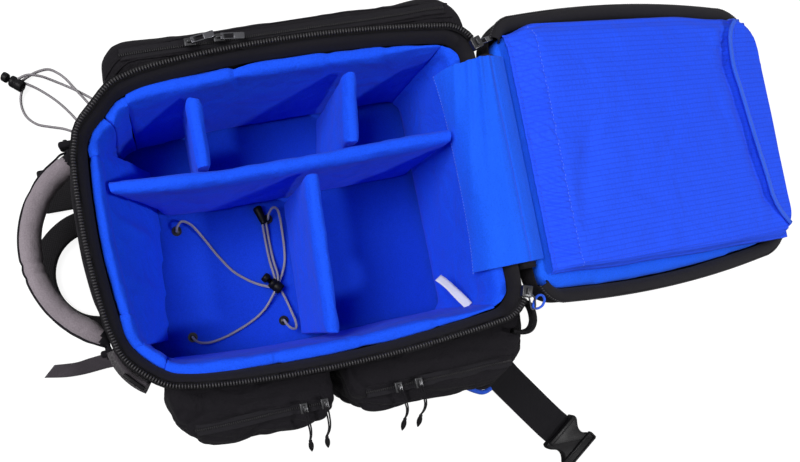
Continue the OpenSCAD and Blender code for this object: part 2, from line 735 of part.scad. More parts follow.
inner_lock = [-19, -70, floor_z + lock_d / 2 + touch];
inner_lock_turn = 131;
barrel_l = 18;
button_l = 8;
button_gap = 0.3;
plunger_d = 6;
plunger_gap = 0.05;

module lock_barrel(c, turn) color(black) translate(c) rotate([0, 90, turn]) difference() {
    translate([0, 0, -barrel_l / 2]) cylinder(d = lock_d, h = barrel_l);
    translate([0, 0, -barrel_l / 2 + 3])
        cylinder(d = plunger_d + 2 * plunger_gap, h = barrel_l);
}

module lock_button(c, turn) color(black) translate(c) rotate([0, 90, turn]) {
    translate([0, 0, barrel_l / 2 + button_gap + button_travel])
        cylinder(d = button_d, h = button_l);
    translate([0, 0, -1]) cylinder(d = plunger_d, h = barrel_l / 2 + button_travel + 2);
}

module inner_cord_a() cord(cord_a);
module inner_cord_b() cord(cord_b);
module inner_cord_c() cord(cord_c);
module inner_cord_d() cord(cord_d_route);
module inner_cord_tails() {
    cord(cord_tail_1);
    cord(cord_tail_2);
    color(black) translate([-17.5, 14, floor_z + 6.5]) rotate([-90, 0, 14])
        cylinder(d1 = 9, d2 = 10.4, h = 24);
}
module inner_lock_barrel() lock_barrel(inner_lock, inner_lock_turn);
module inner_lock_button() lock_button(inner_lock, inner_lock_turn);

outer_1 = [[-295.5, 260.5, 12], [-282, 264, 12], [-266, 261, 9], [-252, 255, 4],
    [-238, 247, 2], [-222, 236, 2], [-204, 221, 2], [-192, 202, 2.5], [-186, 184, 7],
    [-184, 167, 12]];
outer_2 = [[-289, 256, 8], [-278, 250, 5], [-266, 241, 2.5], [-252, 227, 2], [-240, 211, 2],
    [-229, 193, 2], [-219, 177, 4], [-211, 164, 9], [-207, 155, 12]];
outer_3 = [[-293.5, 259.5, 4.5], [-283, 266, 3], [-270, 271, 2], [-256, 272, 2], [-245, 265, 3],
    [-236, 254, 7], [-228, 241, 8], [-218, 226, 5], [-207, 208, 2], [-197, 188, 5],
    [-191, 166, 12]];
outer_4 = [[-292.5, 250.5, 7], [-298, 239, 3], [-299, 226, 2], [-295, 213, 2], [-284, 202, 2],
    [-268, 196, 2], [-250, 190, 2], [-232, 179, 3], [-218, 166, 8], [-211, 153, 12]];

outer_lock = [-298, 256, lock_d / 2 + touch];
outer_lock_turn = 140;

module outer_cords() for (p = [outer_1, outer_2, outer_3, outer_4]) cord(p);
module outer_lock_barrel() lock_barrel(outer_lock, outer_lock_turn);
module outer_lock_button() lock_button(outer_lock, outer_lock_turn);

back_panel();
frame_sheet();
shell_near_panel();
shell_far_panel();
shell_handle_end();
shell_hinge_end();
rim_band();
body_zip();
insert_floor();
insert_near_wall();
insert_far_wall();
insert_handle_wall();
insert_hinge_wall();
hinge_strip();
hinge_flap();
floor_eyelets();
care_label();
long_divider();
divider_1();
divider_2();
divider_3();
far_pocket();
near_pocket_upper();
near_pocket_lower();
pocket_zips();
back_pads();
shoulder_strap_far();
shoulder_strap_near();
belt_wing_far();
belt_wing_near();
belt_webbing();
female_buckle();
male_buckle();
corner_strap();
sewn_tabs();
handle();
lid_shell();
lid_liner();
lid_zip();
laptop_sleeve();
sleeve_flap();
lid_pocket();
main_slider_far();
main_slider_near();
far_pocket_slider_a();
far_pocket_slider_b();
upper_pocket_slider_a();
upper_pocket_slider_b();
lower_pocket_slider_a();
lower_pocket_slider_b();
inner_cord_a();
inner_cord_b();
inner_cord_c();
inner_cord_d();
inner_cord_tails();
inner_lock_barrel();
inner_lock_button();
outer_cords();
outer_lock_barrel();
outer_lock_button();
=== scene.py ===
# %% [markdown]
# # A padded camera backpack, opened on its back
# The bag lies on its harness with the lid folded open, so the blue padded insert shows.
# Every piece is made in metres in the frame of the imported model, so that it sits where the
# construction says. Sizes below are written in millimetres, because that is how a bag maker
# cuts cloth, and MM turns them into metres.
# %% Load the frame
import math
import bpy
import bmesh
from mathutils import Matrix, Vector, noise
from mathutils.bvhtree import BVHTree


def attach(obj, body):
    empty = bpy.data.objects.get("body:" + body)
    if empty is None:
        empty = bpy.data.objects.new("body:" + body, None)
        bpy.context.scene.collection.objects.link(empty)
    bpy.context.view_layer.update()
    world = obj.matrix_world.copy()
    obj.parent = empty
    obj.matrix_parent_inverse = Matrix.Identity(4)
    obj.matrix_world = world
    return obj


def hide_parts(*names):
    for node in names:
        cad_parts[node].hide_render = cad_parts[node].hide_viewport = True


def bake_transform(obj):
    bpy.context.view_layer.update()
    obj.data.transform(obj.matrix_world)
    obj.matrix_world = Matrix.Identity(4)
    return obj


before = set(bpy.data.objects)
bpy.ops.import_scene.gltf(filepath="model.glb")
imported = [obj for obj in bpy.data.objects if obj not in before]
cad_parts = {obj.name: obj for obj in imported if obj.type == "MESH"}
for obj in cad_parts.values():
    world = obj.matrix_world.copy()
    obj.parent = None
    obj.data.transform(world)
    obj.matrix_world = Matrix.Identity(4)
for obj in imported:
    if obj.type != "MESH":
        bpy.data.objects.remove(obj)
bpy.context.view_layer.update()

MM = 0.001

# %% [markdown]
# ## Camera
# The camera hangs almost straight above the middle compartment and looks down with a small
# tilt. A wide lens with some shift gives the long side walls their perspective. The other way
# would be to turn the camera until the bag fills the frame, but then the walls lean wrongly.
# %% Camera
FRAME_WIDE, FRAME_HIGH = 800, 462
FOCAL = 600.738  # in the frame's own dots, like the point below
STRAIGHT_ON = (248.674, 325.773)  # where the lens looks, from the frame's top left
TILTS = (("Z", -0.2026485), ("Y", -0.1148519), ("X", 0.0226535))  # in radians

camera_data = bpy.data.cameras.new("overhead_camera")
camera_data.sensor_width = 36
camera_data.lens = FOCAL * 36 / FRAME_WIDE
camera_data.shift_x = (FRAME_WIDE / 2 - STRAIGHT_ON[0]) / FRAME_WIDE
camera_data.shift_y = (STRAIGHT_ON[1] - FRAME_HIGH / 2) / FRAME_WIDE
camera_data.clip_end = 20
camera = bpy.data.objects.new("overhead_camera", camera_data)
stand = Matrix.Translation((-0.157793, -0.113911, 0.816609))
tilt = Matrix.Identity(4)
for axis, angle in TILTS:
    tilt = tilt @ Matrix.Rotation(angle, 4, axis)
camera.matrix_world = stand @ tilt
scene = bpy.context.scene
scene.collection.objects.link(camera)
scene.camera = camera
print("lens", round(camera_data.lens, 2), "mm")

# %% [markdown]
# ## Light and floor
# One wide soft lamp stands to the upper left, a weak small one to the right gives the thin
# cord shadows, and a pale world fills the rest. The floor is nearly white for the camera and
# a plain pale grey for the light, so it still takes the bag's shadow.
# %% Light
WHITE = (1, 1, 1, 1)
LIT_SPOT = Vector((0.1, 0, 0.1))
ROOM_FILL = 0.06
scene.view_settings.view_transform = "Standard"


def feed(tree, node, values):
    """Fills inputs by name or number: an output is linked, a plain value is written in."""
    for key, value in values.items():
        if isinstance(value, bpy.types.NodeSocket):
            tree.links.new(value, node.inputs[key])
        elif value is not None:
            node.inputs[key].default_value = value


def add_node(tree, kind, values=None, **settings):
    node = tree.nodes.new("ShaderNode" + kind)
    for key, value in settings.items():
        setattr(node, key, value)
    feed(tree, node, values or {})
    return node


def emptied(owner):
    """The node tree of a new world or material, with nothing in it yet."""
    owner.use_nodes = True
    owner.node_tree.nodes.clear()
    return owner.node_tree


def lamp(name, place, energy, size):
    data = bpy.data.lights.new(name, "AREA")
    data.energy = energy
    data.size = size
    obj = bpy.data.objects.new(name, data)
    obj.location = place
    obj.rotation_euler = (LIT_SPOT - Vector(place)).to_track_quat("-Z", "Y").to_euler()
    scene.collection.objects.link(obj)


lamp("wide_soft_lamp", (-1.5, 0.45, 2.2), 78, 1.5)
lamp("small_lamp", (1.45, -0.8, 2.2), 31, 0.22)

world = bpy.data.worlds.new("pale_room")
scene.world = world
tree = emptied(world)
rays = add_node(tree, "LightPath").outputs
seen = add_node(tree, "Math", {0: rays["Is Camera Ray"], 1: rays["Is Glossy Ray"]},
    operation="MAXIMUM")
fill, white = [add_node(tree, "Background", {"Color": WHITE, "Strength": strength})
    for strength in (ROOM_FILL, 1.0)]
pick = add_node(tree, "MixShader", {0: seen.outputs[0], 1: fill.outputs[0], 2: white.outputs[0]})
add_node(tree, "OutputWorld", {"Surface": pick.outputs[0]})

# %% Floor
FLOOR_GREY = (0.62, 0.62, 0.62, 1)
GLOW, GLOW_SHARE = 1.3, 0.7

floor_paint = bpy.data.materials.new("pale_floor")
tree = emptied(floor_paint)
rays = add_node(tree, "LightPath").outputs
matt = add_node(tree, "BsdfDiffuse", {"Color": FLOOR_GREY})
bright = add_node(tree, "Math", {0: rays["Is Camera Ray"], 1: GLOW}, operation="MULTIPLY")
glow = add_node(tree, "Emission", {"Color": WHITE, "Strength": bright.outputs[0]})
both = add_node(tree, "MixShader", {0: GLOW_SHARE, 1: matt.outputs[0], 2: glow.outputs[0]})
add_node(tree, "OutputMaterial", {"Surface": both.outputs[0]})

bm = bmesh.new()
bmesh.ops.create_grid(bm, x_segments=1, y_segments=1, size=6)
bmesh.ops.translate(bm, verts=bm.verts, vec=(0, 0, -0.0005))
mesh = bpy.data.meshes.new("pale_floor")
bm.to_mesh(mesh)
bm.free()
mesh.materials.append(floor_paint)
floor = bpy.data.objects.new("pale_floor", mesh)
scene.collection.objects.link(floor)
print("floor", floor.dimensions.x, "m wide")

# %% [markdown]
# ## Cloth effects that several finishes share
# Bag cloth shows three things up close: the threads, the soft rumples, and small shade changes
# from brushing and lint. Each is a shader group on object coordinates, so it keeps its real
# size on every piece. An image of cloth would need unwrapping and would repeat.
# %% Shader groups
ONE_TURN, TWO_TURNS = 6.2832, 12.566


def group(name, vector, amount, usual, *results):
    """A shader group: a vector and one amount go in, and named values come out."""
    tree = bpy.data.node_groups.new(name, "ShaderNodeTree")
    sockets = [(vector, "INPUT", "Vector"), (amount, "INPUT", "Float")]
    for label, way, kind in sockets + [(label, "OUTPUT", "Float") for label in results]:
        socket = tree.interface.new_socket(name=label, in_out=way,
            socket_type="NodeSocket" + kind)
        if label == amount:
            socket.default_value = usual
    given = tree.nodes.new("NodeGroupInput").outputs
    return tree, given[0], given[1], tree.nodes.new("NodeGroupOutput")


def math_node(tree, operation, a, b=None):
    return add_node(tree, "Math", {0: a, 1: b}, operation=operation).outputs[0]


def vector_node(tree, operation, a, b=None, scale=None):
    node = add_node(tree, "VectorMath", {0: a, 1: b, 3: scale}, operation=operation)
    return node.outputs["Value" if operation == "DOT_PRODUCT" else "Vector"]


def noise_node(tree, vector, scale, detail=3.0, rough=0.55, warp=0.0):
    return add_node(tree, "TexNoise", {"Vector": vector, "Scale": scale, "Detail": detail,
        "Roughness": rough, "Distortion": warp}).outputs["Fac"]


# Crossed threads: one wave along each axis, so two of them cross on any flat face
threads, where, count, result = group("crossed_threads", "Vector", "Threads per metre", 1500.0,
    "Height", "Shade")
waves = vector_node(threads, "SCALE", where, scale=ONE_TURN)
waves = vector_node(threads, "SINE", vector_node(threads, "SCALE", waves, scale=count))
height = vector_node(threads, "DOT_PRODUCT", waves, (0.17, 0.17, 0.17))
speck = math_node(threads, "SUBTRACT", noise_node(threads, where, 620.0, 2.0), 0.36)
feed(threads, result, {"Height": math_node(threads, "ADD", height, 0.5),
    "Shade": math_node(threads, "MULTIPLY", speck, 3.6)})

# Soft rumples: broad warped noise for the shape, and a lazier one for the shade
rumples, where, size, result = group("soft_rumples", "Vector", "Size", 30.0, "Height", "Shade")
slow = math_node(rumples, "MULTIPLY", size, 0.4)
feed(rumples, result, {"Height": noise_node(rumples, where, size, 4.0, 0.5, 0.6),
    "Shade": noise_node(rumples, where, slow, 2.0)})

# Ripstop: a thicker thread every few millimetres, both ways, and stronger one way
grid, where, count, result = group("ripstop_grid", "Vector", "Squares per metre", 300.0, "Mask")
cells = vector_node(grid, "SCALE", where, scale=count)
apart = add_node(grid, "SeparateXYZ", {0: cells})
lines = []
for k, strength in enumerate((0.35, 0.85)):
    line = math_node(grid, "GREATER_THAN", math_node(grid, "PINGPONG", apart.outputs[k], 0.5), 0.40)
    lines.append(math_node(grid, "MULTIPLY", line, strength))
feed(grid, result, {"Mask": math_node(grid, "MAXIMUM", *lines)})

# Braid: two spiral waves that cross along a cord, read from the cord's own map
braid, where, turns, result = group("cord_braid", "Map", "Turns", 60.0, "Height", "Shade")
apart = add_node(braid, "SeparateXYZ", {0: where})
along = math_node(braid, "MULTIPLY", apart.outputs[0], turns)
along = math_node(braid, "MULTIPLY", along, ONE_TURN)
round_it = math_node(braid, "MULTIPLY", apart.outputs[1], TWO_TURNS)
left, right = [math_node(braid, "SINE", math_node(braid, way, along, round_it))
    for way in ("ADD", "SUBTRACT")]
weave = math_node(braid, "MULTIPLY", math_node(braid, "MAXIMUM", left, right), 0.5)
flecks = math_node(braid, "MULTIPLY", left, right)
feed(braid, result, {"Height": math_node(braid, "ADD", weave, 0.5),
    "Shade": math_node(braid, "GREATER_THAN", flecks, 0.35)})
print("shader groups", [g.name for g in bpy.data.node_groups])

# %% [markdown]
# ## Finishes
# A cloth is one Principled shader: the groups mix its colour with a deeper one and drive two
# bumps, a deep slow one for the rumples and a shallow fast one for the threads. Moulded
# parts, metal and the elastic cord get their own recipes after it.
# %% Cloth finish
RIPSTOP_LINE = (0.010, 0.035, 0.60)


def colour(rgb):
    return (*rgb, 1.0)


def place_group(tree, name, vector, value):
    node = add_node(tree, "Group", node_tree=bpy.data.node_groups[name])
    feed(tree, node, {0: vector, 1: value})
    return node


def mixed(tree, a, b, factor, amount=1.0):
    """Two colours mixed; 6, 7 and 2 are the Mix node's sockets for colours."""
    share = math_node(tree, "MULTIPLY", factor, amount)
    return add_node(tree, "Mix", {0: share, 6: a, 7: b}, data_type="RGBA").outputs[2]


def bump(tree, height, distance, normal=None):
    return add_node(tree, "Bump", {"Height": height, "Distance": distance, "Strength": 1.0,
        "Normal": normal}).outputs[0]


def new_finish(name):
    material = bpy.data.materials.new(name)
    tree = emptied(material)
    shader = add_node(tree, "BsdfPrincipled")
    add_node(tree, "OutputMaterial", {"Surface": shader.outputs[0]})
    return material, tree, shader, add_node(tree, "TexCoord").outputs


def cloth(name, face, deep, count, thread, size, depth, rough, sheen, squares=None,
        thread_shade=0.12, gloss=0.1, grain=0.3):
    """Thread and depth are bump heights in metres; count, size and squares are per metre."""
    material, tree, shader, spots = new_finish(name)
    fine = place_group(tree, "crossed_threads", spots["Object"], count).outputs
    soft = place_group(tree, "soft_rumples", spots["Object"], size).outputs
    shade = mixed(tree, colour(face), colour(deep), soft["Shade"], 0.55)
    shade = mixed(tree, shade, colour(deep), fine["Height"], thread_shade * 2)
    shade = mixed(tree, shade, colour([c * 0.62 for c in deep]), fine["Shade"], grain)
    normal = bump(tree, soft["Height"], depth)
    if squares:
        mask = place_group(tree, "ripstop_grid", spots["Object"], squares).outputs[0]
        shade = mixed(tree, shade, colour(RIPSTOP_LINE), mask, 0.30)
        normal = bump(tree, mask, 0.0002, normal)
    feed(tree, shader, {"Base Color": shade, "Roughness": rough, "Sheen Weight": sheen,
        "Specular IOR Level": gloss, "Normal": bump(tree, fine["Height"], thread, normal)})
    return material


lining = cloth("blue_lining", (0.011, 0.098, 0.92), (0.006, 0.060, 0.72),
    1200, 0.00012, 22, 0.005, 0.9, 0.03)
# Painted shade: the floor cloth is the lining's blue made darker, for the shade at the bottom of
# the compartments.
floor_painted_shade = cloth("blue_floor_painted_shade", (0.009, 0.066, 0.70), (0.006, 0.042, 0.54),
    1200, 0.00012, 16, 0.004, 0.9, 0.03)
loop_cloth = cloth("blue_loop_cloth", (0.013, 0.125, 0.93), (0.009, 0.095, 0.84),
    900, 0.0003, 26, 0.0025, 0.95, 0.04)
ripstop = cloth("blue_ripstop", (0.020, 0.100, 0.97), (0.014, 0.070, 0.86),
    1600, 0.0001, 18, 0.005, 0.7, 0.03, 170, grain=0.16)
edge_blue = cloth("blue_binding", (0.035, 0.14, 0.86), (0.02, 0.09, 0.7),
    1400, 0.0003, 40, 0.0005, 0.7, 0.1)
nylon = cloth("black_nylon", (0.0125, 0.0112, 0.0142), (0.005, 0.0045, 0.006),
    1300, 0.0003, 24, 0.008, 0.6, 0.02, gloss=0.05)
band_cloth = cloth("black_band_cloth", (0.0125, 0.0115, 0.0145), (0.006, 0.0055, 0.0075),
    1500, 0.0002, 20, 0.0014, 0.7, 0.02)
mesh_cloth = cloth("black_mesh_pad", (0.014, 0.013, 0.015), (0.006, 0.0055, 0.0065),
    420, 0.0009, 24, 0.002, 0.9, 0.1, thread_shade=0.4)
webbing = cloth("black_webbing", (0.010, 0.0092, 0.0115), (0.005, 0.0046, 0.006),
    700, 0.0005, 30, 0.0008, 0.6, 0.03, thread_shade=0.3, gloss=0.06)
# Painted light: a lighter, sheenier copy of the black webbing for the corner strap, standing for
# the light from the left.
webbing_painted_light = cloth("webbing_painted_light", (0.056, 0.048, 0.057), (0.030, 0.026, 0.031),
    700, 0.0005, 30, 0.0008, 0.7, 0.15, thread_shade=0.3, gloss=0.1)
handle_cloth = cloth("grey_handle_cloth", (0.31, 0.268, 0.30), (0.22, 0.188, 0.212),
    1300, 0.0003, 30, 0.0035, 0.8, 0.2)
label_cloth = cloth("white_label", (0.72, 0.72, 0.80), (0.62, 0.62, 0.72),
    1800, 0.0001, 30, 0.0008, 0.6, 0.05, grain=0.1)
thread_blue, thread_pale = [cloth(name, face, deep, 3000, 0.0001, 60, 0.0002, 0.6, 0.1)
    for name, face, deep in (("blue_thread", (0.03, 0.09, 0.75), (0.02, 0.06, 0.6)),
        ("pale_thread", (0.16, 0.26, 0.95), (0.10, 0.20, 0.9)))]
print("cloths made", len(bpy.data.materials))

# %% [markdown]
# ## Hard finishes and the elastic cord
# Buckles and cord locks are moulded: a dark, slightly grainy gloss. Eyelets and the sliders are
# painted metal. The elastic cord is a grey braid with darker flecks.
# %% Hard finishes
GRAIN_SIZE, GRAIN_DEPTH = 1400.0, 0.00006


def moulded(name, face, rough, metal=0.0, gloss=0.5):
    material, tree, shader, spots = new_finish(name)
    fine = noise_node(tree, spots["Object"], GRAIN_SIZE, 3.0)
    slow = noise_node(tree, spots["Object"], 60.0, 2.0)
    worn = math_node(tree, "ADD", math_node(tree, "MULTIPLY", slow, 0.2), rough - 0.1)
    shade = mixed(tree, colour(face), colour([c * 0.6 for c in face]), slow, 0.8)
    feed(tree, shader, {"Base Color": shade, "Roughness": worn, "Metallic": metal,
        "Specular IOR Level": gloss, "Normal": bump(tree, fine, GRAIN_DEPTH)})
    return material


plastic = moulded("buckle_plastic", (0.006, 0.0056, 0.0066), 0.36, gloss=0.09)
coil_finish = moulded("zip_coil", (0.030, 0.028, 0.032), 0.36, gloss=0.3)
pocket_coil = moulded("pocket_zip_coil", (0.013, 0.012, 0.014), 0.4, gloss=0.2)
slider_paint = moulded("slider_metal", (0.035, 0.035, 0.038), 0.3, 0.6)
wire_metal = moulded("pull_wire", (0.09, 0.09, 0.10), 0.26, 0.8)
eyelet_paint = moulded("eyelet_metal", (0.008, 0.008, 0.009), 0.4, 0.2, gloss=0.3)
board = moulded("stiffener_board", (0.012, 0.012, 0.013), 0.6, gloss=0.2)

elastic, tree, shader, spots = new_finish("elastic_cord")
strands = place_group(tree, "cord_braid", spots["UV"], 70.0).outputs
shade = mixed(tree, colour((0.30, 0.28, 0.30)), colour((0.11, 0.10, 0.12)), strands["Shade"], 0.8)
feed(tree, shader, {"Base Color": shade, "Normal": bump(tree, strands["Height"], 0.0004),
    "Roughness": 0.7, "Sheen Weight": 0.2})
print("finishes", len(bpy.data.materials))

# %% [markdown]
# ## From a flat pattern to a mesh
# The bag's plan is a rectangle with bowed sides and two sizes of corner. Walls, bands and zips
# all follow it at some distance inside, so the plan is one function of that inset. Rows of
# points are lofted into a shell by extruding a chain of edges from row to row.
# %% Outlines
HINGE_X, HINGE_Y, HINGE_R = 187, 127, 38  # the corners' middles and radius at the hinge
END_X, END_Y, END_R = -163, 103, 62  # and at the handle end
HANDLE_EDGE = END_X - END_R
HALF_WIDE, LONG_BOW, END_BOW = 165, 44, 28  # a bow is four times what it adds in the middle


def arc(cx, cy, r, start, stop, steps):
    angles = [math.radians(start + (stop - start) * i / steps) for i in range(steps + 1)]
    return [(cx + r * math.cos(a), cy + r * math.sin(a)) for a in angles]


def long_side(sign, x0, x1, inset, steps=22):
    """Points on a bowed long side, from x0 to x1."""
    points = []
    for i in range(steps + 1):
        x = x0 + (x1 - x0) * i / steps
        t = (x - END_X) / (HINGE_X - END_X)
        points.append((x, sign * (HALF_WIDE - inset + LONG_BOW * t * (1 - t))))
    return points


def handle_side(y0, y1, inset, steps=14):
    points = []
    for i in range(steps + 1):
        y = y0 + (y1 - y0) * i / steps
        t = (y + END_Y) / (2 * END_Y)
        points.append((inset + HANDLE_EDGE - END_BOW * t * (1 - t), y))
    return points


def zip_path(inset, lead=29.6):
    """The three zipped sides, from the far hinge corner round to the near one."""
    at_hinge, at_end = HINGE_R - inset, END_R - inset
    return (arc(HINGE_X, HINGE_Y, at_hinge, lead, 90, 6)
        + long_side(1, HINGE_X, END_X, inset)[1:-1] + arc(END_X, END_Y, at_end, 90, 180, 10)
        + handle_side(END_Y, -END_Y, inset)[1:-1] + arc(END_X, -END_Y, at_end, 180, 270, 10)
        + long_side(-1, END_X, HINGE_X, inset)[1:-1]
        + arc(HINGE_X, -HINGE_Y, at_hinge, 270, 360 - lead, 6))


def rim(inset):
    """The whole outline, closed over the hinge."""
    edge = [(HINGE_X + HINGE_R - inset, HINGE_Y - 2 * HINGE_Y * i / 14) for i in range(15)]
    return zip_path(inset, 0) + list(reversed(edge))[1:-1]


print("plan has", len(rim(0)), "points")

# %% Lofts, prisms and smooth lines
def lifted(points, z):
    """Plan points in millimetres, set at one height."""
    return [Vector((x, y, z)) * MM for x, y in points]


def loft(bm, rows, closed):
    """A skin through rows of points, made by extruding a chain of edges row by row."""
    verts = [bm.verts.new(p) for p in rows[0]]
    edges = [bm.edges.new(pair) for pair in zip(verts, verts[1:])]
    if closed:
        edges.append(bm.edges.new((verts[-1], verts[0])))
    for points in rows[1:]:
        place = {v.co.to_tuple(7): i for i, v in enumerate(verts)}
        made = bmesh.ops.extrude_edge_only(bm, edges=edges)["geom"]
        verts = [g for g in made if isinstance(g, bmesh.types.BMVert)]
        verts.sort(key=lambda v: place[v.co.to_tuple(7)])
        edges = [g for g in made if isinstance(g, bmesh.types.BMEdge)]
        edges = [e for e in edges if all(v in set(verts) for v in e.verts)]
        for v, p in zip(verts, points):
            v.co = p
    return verts


def cap_ends(bm):
    bmesh.ops.holes_fill(bm, edges=[e for e in bm.edges if e.is_boundary])


def close_up(bm):
    cap_ends(bm)
    bmesh.ops.recalc_face_normals(bm, faces=bm.faces)


def prism(bm, outline, z0, z1):
    """A flat pattern piece, extruded up to its thickness and closed."""
    base = bm.faces.new([bm.verts.new(p) for p in lifted(outline, z0)])
    made = bmesh.ops.extrude_face_region(bm, geom=[base])["geom"]
    top = [g for g in made if isinstance(g, bmesh.types.BMVert)]
    bmesh.ops.translate(bm, verts=top, vec=(0, 0, (z1 - z0) * MM))
    close_up(bm)


def round_edges(bm, edges, size, steps=3):
    bmesh.ops.bevel(bm, geom=list(edges), offset=size * MM, segments=steps, affect="EDGES",
        profile=0.5, material=-1)


def edges_at(bm, height, keep=lambda p: True):
    """The edges of an extruded pattern piece that lie flat at one height."""
    return [e for e in bm.edges if all(abs(v.co.z - height * MM) < 1e-6 for v in e.verts)
        and all(keep(v.co / MM) for v in e.verts)]


def smooth_line(points, steps=6):
    """A smooth curve through given points, in metres."""
    line = []
    p = [Vector(q) * MM for q in points]
    for k in range(len(p) - 1):
        a, b, c, d = p[max(k - 1, 0)], p[k], p[k + 1], p[min(k + 2, len(p) - 1)]
        for i in range(steps):
            t = i / steps
            line.append(0.5 * (2 * b + (c - a) * t + (2 * a - 5 * b + 4 * c - d) * t * t
                + (3 * b - a - 3 * c + d) * t ** 3))
    return line + [p[-1]]


def flat_curve(points, steps):
    """The same curve through plan points, as plan points in millimetres."""
    return [(p.x / MM, p.y / MM) for p in smooth_line([(x, y, 0) for x, y in points], steps)]


def evenly(line, pitch):
    """Places every pitch metres along a line, each with its direction."""
    spots, left = [], 0.0
    for a, b in zip(line, line[1:]):
        step = (b - a).length
        while left < step:
            spots.append((a.lerp(b, left / step), (b - a).normalized()))
            left += pitch
        left -= step
    return spots


def placed(x, y, z, **turns):
    """A place in metres, and then turns in degrees about the named axes, in order."""
    matrix = Matrix.Translation((x, y, z))
    for axis, angle in turns.items():
        matrix = matrix @ Matrix.Rotation(math.radians(angle), 4, axis)
    return matrix


print("pattern tools ready")

# %% [markdown]
# ## Turning a mesh into a piece
# Each finished mesh becomes one object at the origin, rides on the body that carries it, and
# hides the construction solids that it stands for.
# %% Pieces
LID_SLOPE = 11.5
LID = placed(0.229, 0, 0.2, Y=LID_SLOPE)


def set_up(name, mesh, finish, body, stands_for):
    mesh.materials.clear()
    mesh.materials.append(finish)
    for face in mesh.polygons:
        face.use_smooth = True
    obj = bpy.data.objects.new(name, mesh)
    scene.collection.objects.link(obj)
    if body:
        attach(obj, body)
    if stands_for:
        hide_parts(*stands_for)
    return obj


def piece(name, bm, finish, body="bag", stands_for=(), at=None):
    if at is not None:
        bmesh.ops.transform(bm, matrix=at, verts=bm.verts)
    bmesh.ops.recalc_face_normals(bm, faces=bm.faces)
    mesh = bpy.data.meshes.new(name)
    bm.to_mesh(mesh)
    bm.free()
    return set_up(name, mesh, finish, body, stands_for)


def with_modifier(obj, kind, **settings):
    mod = obj.modifiers.new(kind.lower(), kind)
    for key, value in settings.items():
        setattr(mod, key, value)
    return mod


def rounded(obj):
    with_modifier(obj, "SUBSURF", levels=1, render_levels=1)


def thicken(obj, thick, smoother=True):
    """Gives a skin its cloth thickness in millimetres, half to each side."""
    with_modifier(obj, "SOLIDIFY", thickness=thick * MM, offset=0)
    if smoother:
        rounded(obj)


def baked(obj):
    """A new mesh with the object's modifiers or bevel applied."""
    return bpy.data.meshes.new_from_object(
        obj.evaluated_get(bpy.context.evaluated_depsgraph_get()))


def tube(name, line, radius, finish, body="bag", stands_for=(), sides=4):
    """A round tube along a line, made as a curve and turned into a mesh with its own map."""
    curve = bpy.data.curves.new(name, "CURVE")
    curve.dimensions = "3D"
    curve.bevel_depth = radius
    curve.bevel_resolution = sides
    curve.use_fill_caps = True
    spline = curve.splines.new("POLY")
    spline.points.add(len(line) - 1)
    for point, place in zip(spline.points, line):
        point.co = (*place, 1)
    spline.use_smooth = True
    draft = bpy.data.objects.new(name + "_draft", curve)
    scene.collection.objects.link(draft)
    bpy.context.view_layer.update()
    mesh = baked(draft)
    bpy.data.objects.remove(draft)
    mesh.name = name
    return set_up(name, mesh, finish, body, stands_for)


print("ready to make pieces; the lid is tilted by", LID_SLOPE, "degrees")

# %% [markdown]
# ## Elastic cords
# Four strands leave eyelets in the floor and meet in a cord lock, and two tails run from the
# lock to a moulded end. Outside, four strands leave the far corner and end in a second lock.
# Each strand is a round tube on the route that the construction uses, because cord keeps its
# length and its thickness; a simulated rope would not stay on that route.
# %% Cord routes
CORD = 0.0034
inner_routes = {
    "inner_cord_a": [(-133, 26, 21), (-133, 26, 30), (-131, 30, 37), (-124, 35, 38),
        (-113, 29, 33), (-101, 11, 28), (-88, -13, 26), (-72, -38, 26), (-55, -54, 27),
        (-40, -64, 29), (-27, -70, 32)],
    "inner_cord_b": [(-11, 20, 21), (-11, 20, 30), (-10, 25, 37), (-4, 31, 40), (2, 28, 38),
        (4, 16, 34), (4, -4, 29), (3, -22, 27), (0, -40, 26), (-6, -54, 28), (-14, -66, 32)],
    "inner_cord_c": [(-140, -115, 21), (-140, -115, 30), (-138, -119, 36), (-131, -124, 35),
        (-117, -126, 29), (-98, -123, 26), (-78, -117, 26), (-56, -108, 26), (-38, -96, 28),
        (-21.5, -76.5, 32)],
    "inner_cord_d": [(-17, -117, 21), (-17, -117, 30), (-16, -122, 36), (-11, -129, 38),
        (-5, -130, 37), (-3, -122, 34), (-5, -108, 30), (-9, -90, 29), (-14, -76, 32)],
}
tail_routes = [
    [(-20, 15, 30.5), (-20, 2, 28), (-20, -16, 26), (-20, -36, 28), (-19, -54, 33),
        (-19, -62, 35)],
    [(-15, 15, 30.5), (-15, 2, 28), (-15, -16, 26), (-15, -36, 28), (-14, -55, 33),
        (-15.5, -64.5, 35)],
]
outer_routes = [
    [(-295.5, 260.5, 12), (-282, 264, 12), (-266, 261, 9), (-252, 255, 4), (-238, 247, 2),
        (-222, 236, 2), (-204, 221, 2), (-192, 202, 2.5), (-186, 184, 7), (-184, 167, 12)],
    [(-289, 256, 8), (-278, 250, 5), (-266, 241, 2.5), (-252, 227, 2), (-240, 211, 2),
        (-229, 193, 2), (-219, 177, 4), (-211, 164, 9), (-207, 155, 12)],
    [(-293.5, 259.5, 4.5), (-283, 266, 3), (-270, 271, 2), (-256, 272, 2), (-245, 265, 3),
        (-236, 254, 7), (-228, 241, 8), (-218, 226, 5), (-207, 208, 2), (-197, 188, 5),
        (-191, 166, 12)],
    [(-292.5, 250.5, 7), (-298, 239, 3), (-299, 226, 2), (-295, 213, 2), (-284, 202, 2),
        (-268, 196, 2), (-250, 190, 2), (-232, 179, 3), (-218, 166, 8), (-211, 153, 12)],
]
print("cord routes", len(inner_routes) + len(tail_routes) + len(outer_routes))

